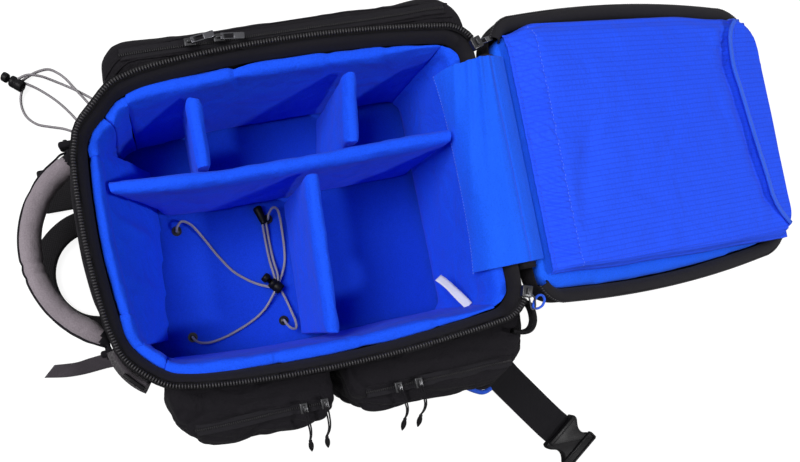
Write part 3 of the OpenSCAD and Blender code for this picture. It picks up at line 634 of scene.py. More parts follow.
# %% Cords and cord locks
BARREL = [(0, -9), (5.4, -9), (6.9, -8.3), (7.5, -6.8), (7.5, 1.2), (7.0, 1.8), (7.0, 2.6),
    (7.5, 3.2), (7.5, 7.4), (6.8, 8.8), (5.6, 9), (3.9, 9), (3.1, 8.2), (3.1, -6), (0, -6)]
BUTTON = [(0, -1), (3, -1), (3, 13.3), (4.9, 13.3), (5.9, 13.9), (6.25, 15.2), (6.25, 19.2),
    (5.7, 20.6), (4.4, 21.3), (2.6, 20.9), (0, 20.7)]
CORD_END = [(0, 0), (3.4, 0), (4.4, 0.7), (4.7, 2.2), (4.3, 3.2), (4.7, 4.2), (5.3, 12),
    (6.1, 19), (6.0, 22.4), (4.6, 24.4), (0, 24.8)]


def length_of(line):
    return sum((b - a).length for a, b in zip(line, line[1:]))


def turned(profile, steps=28):
    """A turned part: a profile of radius and height, spun round the upright axis."""
    bm = bmesh.new()
    verts = [bm.verts.new((r * MM, 0, z * MM)) for r, z in profile]
    edges = [bm.edges.new(pair) for pair in zip(verts, verts[1:])]
    bmesh.ops.spin(bm, geom=verts + edges, cent=(0, 0, 0), axis=(0, 0, 1), angle=math.tau,
        steps=steps, use_merge=True)
    bmesh.ops.remove_doubles(bm, verts=bm.verts, dist=0.000001)
    return bm


def lying(spot, angle):
    """Turns an upright part to lie along a compass direction."""
    return placed(*Vector(spot) * MM, Z=angle, Y=90)


def cord_lock(side, spot, angle):
    made = []
    for part, profile, body in (("barrel", BARREL, "bag"),
            ("button", BUTTON, side + "_lock_button")):
        node = f"{side}_lock_{part}"
        made.append(piece(node + "_moulding", turned(profile), plastic, body, (node,),
            lying(spot, angle)))
    return made


def lay_cord(name, points, node, outwards=True):
    """One strand, a tube along a smooth line through the points; outwards turns it round."""
    line = smooth_line(points)
    if outwards:
        line.reverse()
    cord = tube(name, line, CORD / 2, elastic, "bag", (node,), 3)
    print(name, round(length_of(line) * 1000), "mm")


inner_lock = cord_lock("inner", (-19, -70, 31.8), 131)
outer_lock = cord_lock("outer", (-298, 256, 7.8), 140)
cord_end = piece("inner_cord_end", turned(CORD_END), plastic, "bag", (),
    lying((-17.5, 14, 30.5), 104))
for node, points in inner_routes.items():
    lay_cord(node + "_strand", points, node, False)
for routes, name, node, fitting in ((tail_routes, "inner_tail", "inner_cord_tails", [cord_end]),
        (outer_routes, "outer_strand", "outer_cords", outer_lock)):
    for k, points in enumerate(routes):
        lay_cord(f"{name}_{k + 1}", points, node)

# %% [markdown]
# ## Padded pieces
# Every wall and divider is foam in a cloth cover. A pattern piece is turned into an even mesh
# by a voxel remesh, shrunk a little, and then blown up by cloth pressure. The cap on how far a
# point may move keeps the pad inside the space its neighbours leave. All the pads are inflated
# in one run of twenty frames, because each extra run costs time.
# %% Pads
waiting = []


def soft_step(t):
    t = min(max(t, 0), 1)
    return t * t * (3 - 2 * t)


def hump(distance, width):
    """A smooth rise that is one at no distance and dies away over the width."""
    return math.exp(-(distance / width) ** 2)


def settle(p):
    """Slack cloth draws in round the corners at the handle end, most of all at the rim."""
    sign = 1 if p.y > 0 else -1
    out = Vector((p.x + 0.163, p.y - sign * 0.103, 0))
    gap = (math.degrees(math.atan2(out.y * sign, out.x)) - 133) / 37
    if out.length < 0.01 or p.x > -0.08:
        return p
    pull = (13 if sign > 0 else 8) * math.exp(-gap * gap) * soft_step((p.z / MM - 60) / 120)
    return p - out.normalized() * pull * MM


def settled(bm):
    for v in bm.verts:
        v.co = settle(v.co)


def pad(name, bm, finish, body="bag", stands_for=(), voxel=5.0, puff=1.6,
        soften=3, at=None, rumple=0.5, size=26.0, pull=None, shape=None):
    """Sizes are in millimetres; rumple is how deep the cover's dents are, size how dense."""
    obj = piece(name, bm, finish, body, stands_for)
    with_modifier(obj, "REMESH", mode="VOXEL", voxel_size=voxel * MM)
    mesh = baked(obj)
    obj.modifiers.clear()
    obj.data = mesh
    draft = bmesh.new()
    draft.from_mesh(mesh)
    for _ in range(soften):
        bmesh.ops.smooth_vert(draft, verts=draft.verts, factor=0.5, use_axis_x=True,
            use_axis_y=True, use_axis_z=True)
    if shape:
        shape(draft)
    if at is not None:
        bmesh.ops.transform(draft, matrix=at, verts=draft.verts)
    draft.normal_update()
    for v in draft.verts:
        v.co -= v.normal * puff * MM
    draft.to_mesh(mesh)
    draft.free()
    waiting.append((obj, puff * MM, rumple * MM, size, pull))
    return obj


print("pads are", "simulated")

# %% [markdown]
# ## Padded walls
# The wall is one section carried round the plan, cut into the seven pads that the real cover
# is sewn as: three straight ones and two folded segments at each corner. Each pad is a little
# too long, so that it presses against the next one.
# %% Walls
OUT, IN = 14.6, 30.7  # the padding's two faces, as insets
FLOOR = 24.4
SHAPE = [(OUT, FLOOR), (OUT, 162), (11.6, 172), (10, 179), (11, 184.4), (15, 187.2), (20, 187.8),
    (25, 186.6), (28.4, 183), (29, 177), (28.6, 168), (29.2, 150), (IN, 80), (IN, FLOOR)]
crown = [((i - OUT) / (IN - OUT), z) for i, z in SHAPE]
end_crown = [((i + 2.6 * (z > 160) * (i < 20) - OUT) / (IN - OUT), z) for i, z in SHAPE]


def wall_along(bm, left, right, profile, lean=None):
    """A section carried between two plan lines; profile gives (part of the way across, height)."""
    rows = []
    for a, b in zip(left, right):
        points = []
        for t, z in profile:
            x = a[0] + (b[0] - a[0]) * t
            x = max(x, lean(z)) if lean else x
            points.append(Vector((x, a[1] + (b[1] - a[1]) * t, z)) * MM)
        rows.append(points)
    loft(bm, rows, True)
    close_up(bm)


def stations(inset):
    """The whole padded wall, from the far hinge corner round the handle end to the near one."""
    straight_to = HINGE_X + 1
    return (long_side(1, straight_to, END_X, inset, 26)
        + arc(END_X, END_Y, END_R - inset, 90, 180, 12)[1:]
        + handle_side(END_Y, -END_Y, inset, 16)[1:]
        + arc(END_X, -END_Y, END_R - inset, 180, 270, 12)[1:]
        + long_side(-1, END_X, straight_to, inset, 26)[1:])


def thinned(points):
    """The padding gets thinner towards the hinge, more so on the far side."""
    return [(x, y + (8.6 if y > 0 else -7.2) * soft_step((x - 95) / 85) * (abs(y) > 90))
        for x, y in points]


def longer(points, first, last):
    """The same line, a little longer at both ends, so that neighbours press together."""
    ends = []
    for a, b, by in ((points[0], points[1], first), (points[-1], points[-2], last)):
        k = by / math.dist(a, b)
        ends.append((a[0] + (a[0] - b[0]) * k, a[1] + (a[1] - b[1]) * k))
    return [ends[0]] + points[1:-1] + [ends[1]]


# Tucks: place along the wall, side, depth and width
TUCKS = ((-44, 1, 3.4, 3.0), (-36, 1, 1.6, 7.0), (62, 1, 1.4, 5.0), (128, 1, 1.6, 4.0),
    (-60, -1, 1.6, 4.0), (36, -1, 1.3, 6.0), (122, -1, 2.0, 4.0))


def pinched(v, n):
    """Tucks across the crown, where the cover is caught by a stitch."""
    p = v.co / MM
    for x, sign, deep, wide in TUCKS:
        if p.y * sign > 0 and p.z > 140 and abs(p.x - x) < 4 * wide:
            gap = (p.x - x + 0.25 * (p.z - 184)) / wide
            v.co -= n * deep * math.exp(-gap * gap) * soft_step((p.z - 140) / 35) * MM


middle = stations(20)
seams = [min(range(len(middle)), key=lambda k: math.dist(middle[k], p))
    for p in ((-158, 154), (-184, 126), (-203, 96), (-213, -78), (-198, -110), (-180, -147))]
cuts = [0] + seams + [len(middle) - 1]
PRESS, PRESS_AT_HINGE = 3.6, 9
walls = [("far_wall_pad", "insert_far_wall"), ("far_corner_fold_a", "insert_handle_wall"),
    ("far_corner_fold_b", "insert_handle_wall"), ("end_wall_pad", "insert_handle_wall"),
    ("near_corner_fold_a", "insert_handle_wall"), ("near_corner_fold_b", "insert_handle_wall"),
    ("near_wall_pad", "insert_near_wall")]
for (name, node), a, b in zip(walls, cuts, cuts[1:]):
    bm = bmesh.new()
    into = [PRESS_AT_HINGE if name == end else PRESS for end in ("far_wall_pad", "near_wall_pad")]
    wall_along(bm, longer(stations(OUT)[a:b + 1], *into),
        longer(thinned(stations(IN))[a:b + 1], *into),
        end_crown if name == "end_wall_pad" else crown)
    pad(name, bm, lining, "bag", (node,), voxel=4.2, puff=1.4, soften=2, rumple=1.9, size=24,
        shape=settled, pull=pinched)
print("wall pads", len(waiting))

# %% [markdown]
# ## The lining at the hinge and the leaning end wall
# At the hinge the lining runs straight down from the rim, so its inner edge gets a wide
# rounding. At the handle end a loose sheet of lining leans from the crown to the floor. It is
# a wedge in section, drawn along the wall so that its top follows the crown's bow.
# %% Hinge lining
HINGE_TOP = 186


def hinge_line(y_far, y_near, r):
    return arc(HINGE_X, y_near, r, 270.8, 360, 8) + arc(HINGE_X, y_far, r, 0, 89.2, 8)


bm = bmesh.new()
inner_edge = hinge_line(135.6, -134.2, HINGE_R - IN)
prism(bm, hinge_line(HINGE_Y, -HINGE_Y, HINGE_R - 12) + inner_edge[::-1], FLOOR, HINGE_TOP)
round_edges(bm, edges_at(bm, HINGE_TOP, lambda p: p.x < 196.5 and abs(p.y) < 145), 10, 4)
pad("hinge_wall_lining", bm, lining, "bag", ("insert_hinge_wall",), voxel=4.2, puff=1.3,
    rumple=1.6, size=22)
print("hinge lining rows", len(inner_edge))

# %% Leaning wall
LEAN_TOP = 176
# Creases that fan out under the crown: place, lean and height
LEAN_CREASES = ((40, -0.5, 2.2), (24, -0.15, 1.8), (2, 0.2, 2.0), (-30, -0.35, 1.6),
    (-62, 0.3, 2.2), (88, 0.3, 1.8))


def foot(y):
    return -147 - 0.12 * max(46 - y, 0)


def leaning_row(y):
    t = (y + END_Y) / (2 * END_Y)
    top, low = -203 - END_BOW * max(t * (1 - t), 0), foot(y)
    section = ((top - 10, FLOOR), (low, FLOOR), (low - 3, 26.5),
        (low * 0.66 + top * 0.34 - 2.5, 75), (low * 0.34 + top * 0.66 - 3, 125), (top, 177),
        (top - 4, 180), (top - 10, 180))
    return [Vector((x, y, z)) * MM for x, z in section]


def fanned(bm):
    """Creases that run down the leaning sheet from a few points under the crown."""
    bm.normal_update()
    for v in bm.verts:
        y, z = v.co.y / MM, v.co.z / MM
        if v.normal.x > 0.3:
            drop = max(LEAN_TOP - z, 0) / 150
            lift = 0
            for y0, lean, high in LEAN_CREASES:
                gap = (y - y0 - lean * (LEAN_TOP - z) * 0.5) / (4 + 10 * drop)
                lift += 1.7 * high * math.exp(-gap * gap) \
                    * math.sin(math.pi * min(drop * 1.15, 1))
            v.co += v.normal * (lift + 1.6 * noise.fractal(v.co * 22, 0.8, 2.0, 3)) * MM


bm = bmesh.new()
loft(bm, [leaning_row(-116 + 229 * k / 24) for k in range(25)], True)
close_up(bm)
pad("leaning_end_lining", bm, lining, "bag", ("insert_handle_wall",), voxel=5, puff=1.2,
    soften=2, rumple=1.2, size=16, shape=fanned)
print("pads so far", len(waiting))

# %% [markdown]
# ## Dividers
# One long divider and three short ones stand on the floor and lift out. They are the same
# foam as the walls, fattest just under their rounded tops. The short ones end a millimetre
# from their neighbours, where the real ones carry hook tape.
# %% Dividers
THICK = 16.8
BULGE = [(0, FLOOR), (0, 145), (-0.07, 162), (-0.10, 171), (-0.02, 177.4), (0.2, 180.6),
    (0.5, 181.6), (0.8, 180.6), (1.02, 177.4), (1.10, 171), (1.07, 162), (1, 145), (1, FLOOR)]
long_line = [(-204, 59), (-176, 56.5), (-150, 54), (-110, 51), (-80, 49), (-20, 48.6), (38, 49),
    (100, 50), (150, 50.6), (189.5, 51)]


def strip_sides(line, width):
    left, right = [], []
    for k, here in enumerate(line):
        a, b = Vector(line[max(k - 1, 0)]), Vector(line[min(k + 1, len(line) - 1)])
        across = Vector((a.y - b.y, b.x - a.x)).normalized() * width / 2
        left.append((here[0] + across.x, here[1] + across.y))
        right.append((here[0] - across.x, here[1] - across.y))
    return left, right


def divider(node, line, lean=None):
    bm = bmesh.new()
    wall_along(bm, *strip_sides(line, THICK), BULGE, lean)
    pad(node + "_pad", bm, lining, node, (node,), voxel=4.0, puff=1.4, soften=2, rumple=2.0,
        size=26)


def on_leaning_wall(z):
    """Where the long divider has to stop, so that it stands clear of the leaning sheet."""
    return -145.5 - (max(z, FLOOR) - FLOOR) * 57.5 / 155


def long_y(x):
    for (x0, y0), (x1, y1) in zip(long_line, long_line[1:]):
        if x0 <= x <= x1:
            return y0 + (y1 - y0) * (x - x0) / (x1 - x0)


divider("long_divider", long_line, on_leaning_wall)
for number, (x0, x1, sign) in enumerate([(-95, -92, 1), (72, 86, 1), (20, 8, -1)], 1):
    t = (x1 - END_X) / (HINGE_X - END_X)
    y0 = long_y(x0) + sign * 9.6
    y1 = sign * (HALF_WIDE - 31 + LONG_BOW * t * (1 - t) - 1.2)
    divider(f"divider_{number}",
        [(x0 + (x1 - x0) * k / 8, y0 + (y1 - y0) * k / 8) for k in range(9)])
print("pads so far", len(waiting))

# %% [markdown]
# ## Sweeps, ripples and stitches
# Straps, tapes and piping are one section carried along a line. Fabric skins get a ripple from
# noise, and stitches are rows of small capsules laid along a seam.
# %% Sweeps
def sweep(bm, line, section, across=None):
    """Carries a closed section along a line; section gives (sideways, up), or makes it."""
    rows = []
    for k, here in enumerate(line):
        way = (line[min(k + 1, len(line) - 1)] - line[max(k - 1, 0)]).normalized()
        side = Vector(across) if across else way.cross(Vector((0, 0, 1))).normalized()
        top = side.cross(way).normalized()
        shape = section(k / (len(line) - 1)) if callable(section) else section
        rows.append([here + side * u * MM + top * v * MM for u, v in shape])
    loft(bm, rows, True)
    cap_ends(bm)


def flat_section(width, thick, r=None):
    r = r or thick * 0.48
    w, t = width / 2 - r, thick / 2 - r
    corners = ((w, t, 0), (-w, t, 90), (-w, -t, 180), (w, -t, 270))
    return [p for x, y, a in corners for p in arc(x, y, r, a, a + 90, 3)]


def oval(a, b, steps):
    angles = [math.tau * i / steps for i in range(steps)]
    return [(a * math.cos(angle), b * math.sin(angle)) for angle in angles]


def ripple(bm, amount, size=14.0, stretch=(1, 1, 1)):
    bm.normal_update()
    for v in bm.verts:
        at = Vector([c * s for c, s in zip(v.co * size, stretch)]) + Vector((0, 0, 3))
        v.co += v.normal * amount * MM * noise.fractal(at, 0.8, 2.0, 3)


def line_of(points):
    return [Vector(p) * MM for p in points]


def tape(name, line, width, thick, finish, body="bag", stands_for=(), at=None):
    bm = bmesh.new()
    sweep(bm, line, flat_section(width, thick))
    return piece(name, bm, finish, body, stands_for, at)


print("sweeps ready")

# %% Beads, stitches and blocks
STITCH = 0.35  # radius of the thread


def beads(name, spots, size, finish, body="bag", at=None, rings=(6, 5)):
    """Many small capsules: zip teeth when they lie across the line, stitches when along it."""
    bm = bmesh.new()
    for place, way in spots:
        side = way.cross(Vector((0, 0, 1))).normalized()
        turn = Matrix((side, way, side.cross(way))).transposed().to_4x4()
        turn.translation = place
        bmesh.ops.create_uvsphere(bm, u_segments=rings[0], v_segments=rings[1], radius=MM,
            matrix=turn @ Matrix.Diagonal((*size, 1)))
    return piece(name, bm, finish, body, (), at)


def stitches(name, line, finish, body="bag", at=None, pitch=3.6):
    return beads(name, evenly(line, pitch * MM), (STITCH, pitch * 0.36, STITCH), finish, body,
        at, (5, 4))


def block(bm, lo, hi, soft, at=Matrix()):
    """A box between two corners with rounded edges."""
    lo, hi = Vector(lo) * MM, Vector(hi) * MM
    made = bmesh.ops.create_cube(bm, size=1,
        matrix=at @ Matrix.Translation((lo + hi) / 2) @ Matrix.Diagonal((*(hi - lo), 1)))["verts"]
    round_edges(bm, {e for v in made for e in v.link_edges}, soft)


print("stitch radius", STITCH, "mm")

# %% [markdown]
# ## Outer shell
# The black panels are one skin lofted up the plan, with a belly at the handle end where the
# padding pushes out. The belly dies away under the corner strap, which is pulled tight.
# %% Shell, back and floor
SHELL_ROWS = [(3.4, 17.6, 0), (1.6, 20, 0), (1.1, 30, 1), (1.2, 50, 3), (1.1, 70, 6),
    (1.3, 90, 8.5), (1.1, 110, 10.5), (1.2, 130, 11), (1.1, 145, 10.4), (1.2, 158, 9.8),
    (1.3, 168, 9.4), (1.5, 177, 8.2), (2.0, 184, 5.4), (2.6, 188.2, 2.2), (3.2, 189.4, 1)]


def shell_row(inset, z, belly):
    points = []
    for x, y in rim(inset):
        out = soft_step((-160 - x) / 35) * soft_step((y + 100) / 45) * soft_step((118 - y) / 50)
        points.append(Vector((x - out * belly, y, z)) * MM)
    return points


bm = bmesh.new()
loft(bm, [shell_row(*level) for level in SHELL_ROWS], True)
ripple(bm, 1.1, 16, (1, 1, 0.5))
settled(bm)
shell = piece("outer_shell", bm, nylon, "bag", ("shell_near_panel", "shell_far_panel",
    "shell_handle_end", "shell_hinge_end"))
thicken(shell, 2)

bm = bmesh.new()
prism(bm, rim(2), 14.2, 17)
piece("back_panel_cloth", bm, nylon, "bag", ("back_panel",))

# The floor pad takes the darker floor cloth: painted shade for the compartment floors.
bm = bmesh.new()
prism(bm, rim(14.3), 20.2, 23.7)
round_edges(bm, edges_at(bm, 23.7), 1.2)
floor_pad = piece("floor_pad", bm, floor_painted_shade, "bag", ("insert_floor",))
print("shell points", len(shell.data.vertices))

# %% [markdown]
# ## Black band and zip
# A slack black strip fills the space between the zip and the blue crown. The coil is a row of
# small capsules about three millimetres apart on a standing tape.
# %% Band and body zip
BAND_ROWS = [(1.9, 197.2), (3.6, 196.2), (6, 194.4), (8.4, 192.2), (10.4, 189.4), (12, 186),
    (13.4, 182)]
COIL_INSET, COIL_HEIGHT, COIL_PITCH = 1.25, 199.2, 3.1


def drop(x):
    """The band hangs lower at the hinge."""
    return 4.5 * soft_step((x - 186) / 30)


bm = bmesh.new()
loft(bm, [[Vector((x, y, z - drop(x))) * MM for x, y in rim(inset)] for inset, z in BAND_ROWS],
    True)
ripple(bm, 1.0, 20)
settled(bm)
thicken(piece("slack_band", bm, band_cloth, "bag", ("rim_band",)), 1)

bm = bmesh.new()
coil_line = [settle(p) for p in lifted(zip_path(COIL_INSET), COIL_HEIGHT)]
sweep(bm, [p - Vector((0, 0, 6.2 * MM)) for p in coil_line], flat_section(1.3, 10))
piece("body_zip_tape", bm, band_cloth, "bag", ("body_zip",))
beads("body_zip_coil", evenly(coil_line, COIL_PITCH * MM), (2.8, 1.0, 1.5), coil_finish)
stitches("body_tape_stitches", [settle(p) for p in lifted(zip_path(3.6), 197.0)], coil_finish)
print("zip is", round(length_of(coil_line), 2), "m long")

# %% [markdown]
# ## Fabric at the hinge
# Two pieces cross the hinge: a black strip over the hinge line, and a light blue sheet that
# hangs over the wall. The sheet carries four long creases that fan out from its far end, a
# stitched hem at its free edge, and a seam across it near the rim.
# %% Hinge strip
FLAP_Y0, FLAP_Y1 = -107, 124


def curtain(profile, y0, y1, steps=44, bend=lambda u, t: 0.0, crease=lambda u, v: 0.0):
    """A sheet across the hinge: profile gives (x, z) from the lid down to the free edge."""
    bm = bmesh.new()
    rows = []
    for k, (x, z) in enumerate(profile):
        u = k / (len(profile) - 1)
        points = []
        for i in range(steps + 1):
            v = i / steps
            lift = crease(u, v)
            points.append(Vector((x - bend(u, 2 * v - 1) + lift * -0.5, y0 + (y1 - y0) * v,
                z + lift)) * MM)
        rows.append(points)
    loft(bm, rows, False)
    return bm


gusset = [(226.6, 180), (226.8, 186), (227.4, 191), (229.2, 195), (232.5, 195.4), (237, 193.6),
    (242, 191), (246.5, 188)]
bm = curtain(gusset, -114, 127)
ripple(bm, 0.8, 30)
hinge = piece("hinge_gusset", bm, nylon, None, ("hinge_strip",))
thicken(hinge, 1.4, False)
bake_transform(hinge)
print("gusset rows", len(gusset))

# %% Light blue flap
# Creases: where each starts, how it slants, and how high it stands
FLAP_CREASES = ((0.32, 0.16, 1.9), (0.44, 0.30, 2.9), (0.58, 0.42, 2.9), (0.72, 0.5, 2.2))


def fan(u, v):
    away = 1 - v
    total = 0.0
    for start, slope, high in FLAP_CREASES:
        gap = (u - start - slope * away) / (0.022 + 0.04 * away)
        total += high * math.exp(-gap * gap) * math.exp(-1.9 * away)
    return total + 0.5 * math.sin(9 * v + 2 * u) * u


def swept_back(u, t):
    return 9 * abs(t) ** 3 * max(u - 0.5, 0) * 1.3


over_rim = [(258, 186.8), (255, 188.6), (250.5, 191.6), (245, 194.4), (239.5, 196.6),
    (236.2, 197.0), (232, 198.6), (226, 198.9), (222, 197.8), (218, 195.6), (213.5, 192.8),
    (209, 190.6), (204, 188.6), (198.8, 184.8), (195.2, 179), (193.2, 171), (192.4, 163.5),
    (192.2, 160)]
over_rim = [(p.x / MM, p.z / MM) for p in smooth_line([(x, 0, z) for x, z in over_rim], 3)]
bm = curtain(over_rim, FLAP_Y0, FLAP_Y1, 60, swept_back, fan)
light = piece("hinge_flap_cloth", bm, loop_cloth, None, ("hinge_flap",))
thicken(light, 1.2)
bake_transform(light)


def on_flap(u, v, lift):
    """A point on the flap, a little above its cloth."""
    k = min(int(u * (len(over_rim) - 1)), len(over_rim) - 2)
    f = u * (len(over_rim) - 1) - k
    x, z = (over_rim[k][j] * (1 - f) + over_rim[k + 1][j] * f for j in (0, 1))
    rise = fan(u, v) + lift
    return Vector((x - swept_back(u, 2 * v - 1) - rise * 0.5,
        FLAP_Y0 + (FLAP_Y1 - FLAP_Y0) * v, z + rise)) * MM


hem = [on_flap(0.97, i / 90, 0.4) + Vector((-0.8 * MM, 0, 0)) for i in range(91)]
seam = [on_flap(0.295, i / 60, 0.75) for i in range(61)]
lines = [stitches("hinge_flap_hem", hem, thread_pale),
    tube("hinge_flap_seam", seam, 0.5 * MM, thread_blue, sides=1)]
print("flap rows", len(over_rim))

# %% Care label
ACROSS = (0.86, 0.50)
label_line = smooth_line([(184, -143.4, 140), (182, -137, 135), (177.5, -126, 128),
    (172, -113.5, 121), (166.5, -103, 112)], 4)
bm = bmesh.new()
loft(bm, [[p + Vector((*ACROSS, 0.15 * math.sin(k * 0.35))) * w * MM for w in (-5.4, -2, 2, 5.4)]
    for k, p in enumerate(label_line)], False)
label = piece("care_label_cloth", bm, label_cloth, "bag", ("care_label",))
thicken(label, 0.4, False)
print("care label", round(length_of(label_line) * 1000), "mm long")

# %% [markdown]
# ## Side pockets
# A pocket is a soft box against the body, blown up and crumpled more than the walls. Its rows
# are the plan drawn in from the outside, so the top and bottom edges come out round and the
# corners keep their own size.
# %% Pockets
BASE, BASE_R, WALL_Y = 40, 14, 158  # where a pocket starts, its lower rounding, its back


def crumpled(v, n):
    """Sharp folds that run along an empty pocket, pressed inwards, and finer creases."""
    x, y, z = v.co
    at = Vector((x * 8 + z * 6, y * 32 + x * 3, z * 30 + x * 5))
    ridge = 1 - min(abs(noise.fractal(at, 0.9, 2.0, 2)) * 2.6, 1)
    loose = soft_step((-y / MM - 176) / 30)
    fine = Vector((x * 13, y * 85 + x * 16, z * 70 + x * 12))
    crease = 1 - min(abs(noise.noise(fine)) * 4, 1)
    deep = 4.4 * ridge * ridge * loose + 1.4 * ridge + 2.2 * crease * (0.35 + 0.65 * loose)
    v.co -= n * deep * MM


def drawn_in(r, away):
    """How far an edge rounded by r is drawn in, at a distance away from the flat side."""
    return r - math.sqrt(max(r * r - away ** 2, 0))


def pocket(name, node, x0, x1, out, top, r, r0, r1, sign, pull=None):
    levels = [(BASE + t * BASE_R, drawn_in(BASE_R, BASE_R - t * BASE_R))
        for t in (0, 0.15, 0.4, 0.7, 1)]
    levels += [(z, 0) for z in range(64, int(top - r), 12)]
    levels += [(top - r + t * r, drawn_in(r, t * r)) for t in (0, 0.3, 0.6, 0.8, 0.93, 1)]
    rows = []
    for z, d in levels:
        e = d * 0.35
        outline = [(x1 - e, WALL_Y), (x0 + e, WALL_Y)] \
            + arc(x0 + e + r0, out - d - r0, r0, 180, 90, 8) \
            + arc(x1 - e - r1, out - d - r1, r1, 90, 0, 8)
        rows.append(lifted([(x, sign * y) for x, y in outline], z))
    bm = bmesh.new()
    loft(bm, rows, True)
    close_up(bm)
    return pad(name, bm, nylon, "bag", (node,), voxel=5, puff=2.0,
        rumple=3.0, size=20, pull=pull)


far_pocket = pocket("far_pocket_cloth", "far_pocket", -188, 236, 216, 178, 18, 34, 44, 1)
upper_pocket = pocket("upper_pocket_cloth", "near_pocket_upper", -192, 7, 245, 165, 31, 66, 30,
    -1, crumpled)
lower_pocket = pocket("lower_pocket_cloth", "near_pocket_lower", 11, 246, 245, 165, 31, 40, 68,
    -1, crumpled)
print("pads so far", len(waiting))

# %% [markdown]
# ## Lid
# The lid is drawn flat along its own length and laid on its slope by one matrix. Its tray,
# padded black edge and blue lining follow the lid's plan. The tray is lofted, the lining is a
# foam pad like the walls.
# %% Lid plan
NECK_X, TIP_X = 54, 385  # the corners' middles, along the lid from its hinge
LID_BOW, NECK_BOW = 36, 18
SLACK = LID @ Matrix.Translation((0, 0.005, 0))


def lid_side(sign, inset):
    parts = [i / 20 for i in range(21)]
    return [(NECK_X + (TIP_X - NECK_X) * t, sign * (HALF_WIDE - inset + LID_BOW * t * (1 - t)))
        for t in parts]


def lid_rim(inset):
    parts = [i / 12 for i in range(1, 12)]
    at_neck, at_tip = HINGE_R - inset, END_R - inset
    tip = [(TIP_X + END_R - inset + END_BOW * t * (1 - t), 2 * END_Y * t - END_Y) for t in parts]
    neck = [(NECK_X - HINGE_R + inset - NECK_BOW * t * (1 - t), HINGE_Y - 2 * HINGE_Y * t)
        for t in parts]
    return (arc(NECK_X, -HINGE_Y, at_neck, 180, 270, 8) + lid_side(-1, inset)[1:-1]
        + arc(TIP_X, -END_Y, at_tip, 270, 360, 10) + tip + arc(TIP_X, END_Y, at_tip, 0, 90, 10)
        + list(reversed(lid_side(1, inset)))[1:-1] + arc(NECK_X, HINGE_Y, at_neck, 90, 180, 8)
        + neck)


def open_side(inset):
    """The lid's plan without its hinge side, from the near hinge corner round to the far one."""
    return lid_rim(inset)[2:-13]


print("lid plan has", len(lid_rim(0)), "points")

# %% Lid tray, edge and zip
TRAY = [(1.4, -11), (0.9, -15), (0.9, -22), (1.6, -29), (4.5, -35), (10, -38.2), (20, -39),
    (50, -39), (95, -39), (120, -39)]
PADDED_EDGE = [(0.8, -13), (0.2, -9), (1.2, -6), (4, -4.4), (8, -4.6), (12, -6.6), (14.6, -10),
    (15.4, -14)]
LID_TAPE = [(0.4, -11.5), (-0.2, -8.5), (0.2, -6.2)]

bm = bmesh.new()
bm.faces.new(loft(bm, [lifted(lid_rim(inset), h) for inset, h in TRAY], True))
ripple(bm, 0.9, 14)
thicken(piece("lid_tray", bm, nylon, "lid", ("lid_shell",), SLACK), 1.6)

bm = bmesh.new()
loft(bm, [lifted(open_side(inset), h) for inset, h in PADDED_EDGE], False)
ripple(bm, 1.0, 14)
thicken(piece("lid_padded_edge", bm, band_cloth, "lid", at=SLACK), 1.4)

bm = bmesh.new()
loft(bm, [lifted(open_side(inset), h) for inset, h in LID_TAPE], False)
thicken(piece("lid_zip_tape", bm, band_cloth, "lid", ("lid_zip",), SLACK), 0.8, False)
teeth = evenly(lifted(open_side(0), -7.4), COIL_PITCH * MM)
beads("lid_zip_coil", teeth, (1.1, 1.0, 1.9), coil_finish, "lid", SLACK)
print("lid teeth", len(teeth))

# %% Lid lining and pocket
LINING_TOP = -7.6
POCKET_ROWS = ((-89.5, 12), (-86, 4), (-78, 0), (-48, 0), (-40.6, 0))

bm = bmesh.new()
prism(bm, [(s if s > 60 else 60 - (60 - s) * 1.24, y) for s, y in lid_rim(13.6)], -35.5,
    LINING_TOP)
round_edges(bm, edges_at(bm, LINING_TOP), 4)
pad("lid_lining_pad", bm, loop_cloth, "lid", ("lid_liner",), voxel=6, puff=1.2, at=SLACK,
    rumple=1.6, size=20)

bm = bmesh.new()
rows = []
for h, inset in POCKET_ROWS:
    s0, s1 = 76 + (h + 40) * -0.6 + inset, 427 - inset
    rows.append(lifted([(min(max(s, s0), s1), y) for s, y in lid_rim(22 + inset)], h))
loft(bm, rows, True)
close_up(bm)
pad("lid_pocket_pad", bm, nylon, "lid", ("lid_pocket",), voxel=8, puff=2, at=LID,
    rumple=2.5)
print("pads so far", len(waiting))

# %% [markdown]
# ## Laptop sleeve
# The sleeve is one ripstop sheet. Across the lid it climbs from the near edge as a gusset,
# lies flat, and falls away at the far edge. Near the hinge it is gathered into a hem, so short
# ruffles run along its length there. A height formula gives all of this exact places, which
# a draped simulation would not keep.
# %% Sleeve heights
SLEEVE_START, SLEEVE_LONG = 36, 396.5
NEAR_LOW = [(0, -126), (0.3, -133), (0.65, -138), (1, -142)]
NEAR_TOP = [(0, -120), (0.3, -125), (0.7, -130), (1, -130)]
FAR_EDGE = [(0, 148), (0.12, 160), (0.65, 161), (0.88, 155), (1, 149)]
HEIGHTS = [(0, -7.4), (0.045, 0.5), (0.085, 7.4), (0.11, 8.9), (0.3, 8.4), (0.7, 8.6),
    (0.92, 7.6), (0.97, 1), (1, -7)]
MOUTH = [(-130, 424), (-107, 406), (-86, 397), (-38, 390), (30, 380), (85, 372), (127, 378),
    (150, 404)]


def knot_line(knots, t):
    for (t0, v0), (t1, v1) in zip(knots, knots[1:]):
        if t <= t1:
            return v0 + (v1 - v0) * soft_step((t - t0) / (t1 - t0))
    return knots[-1][1]


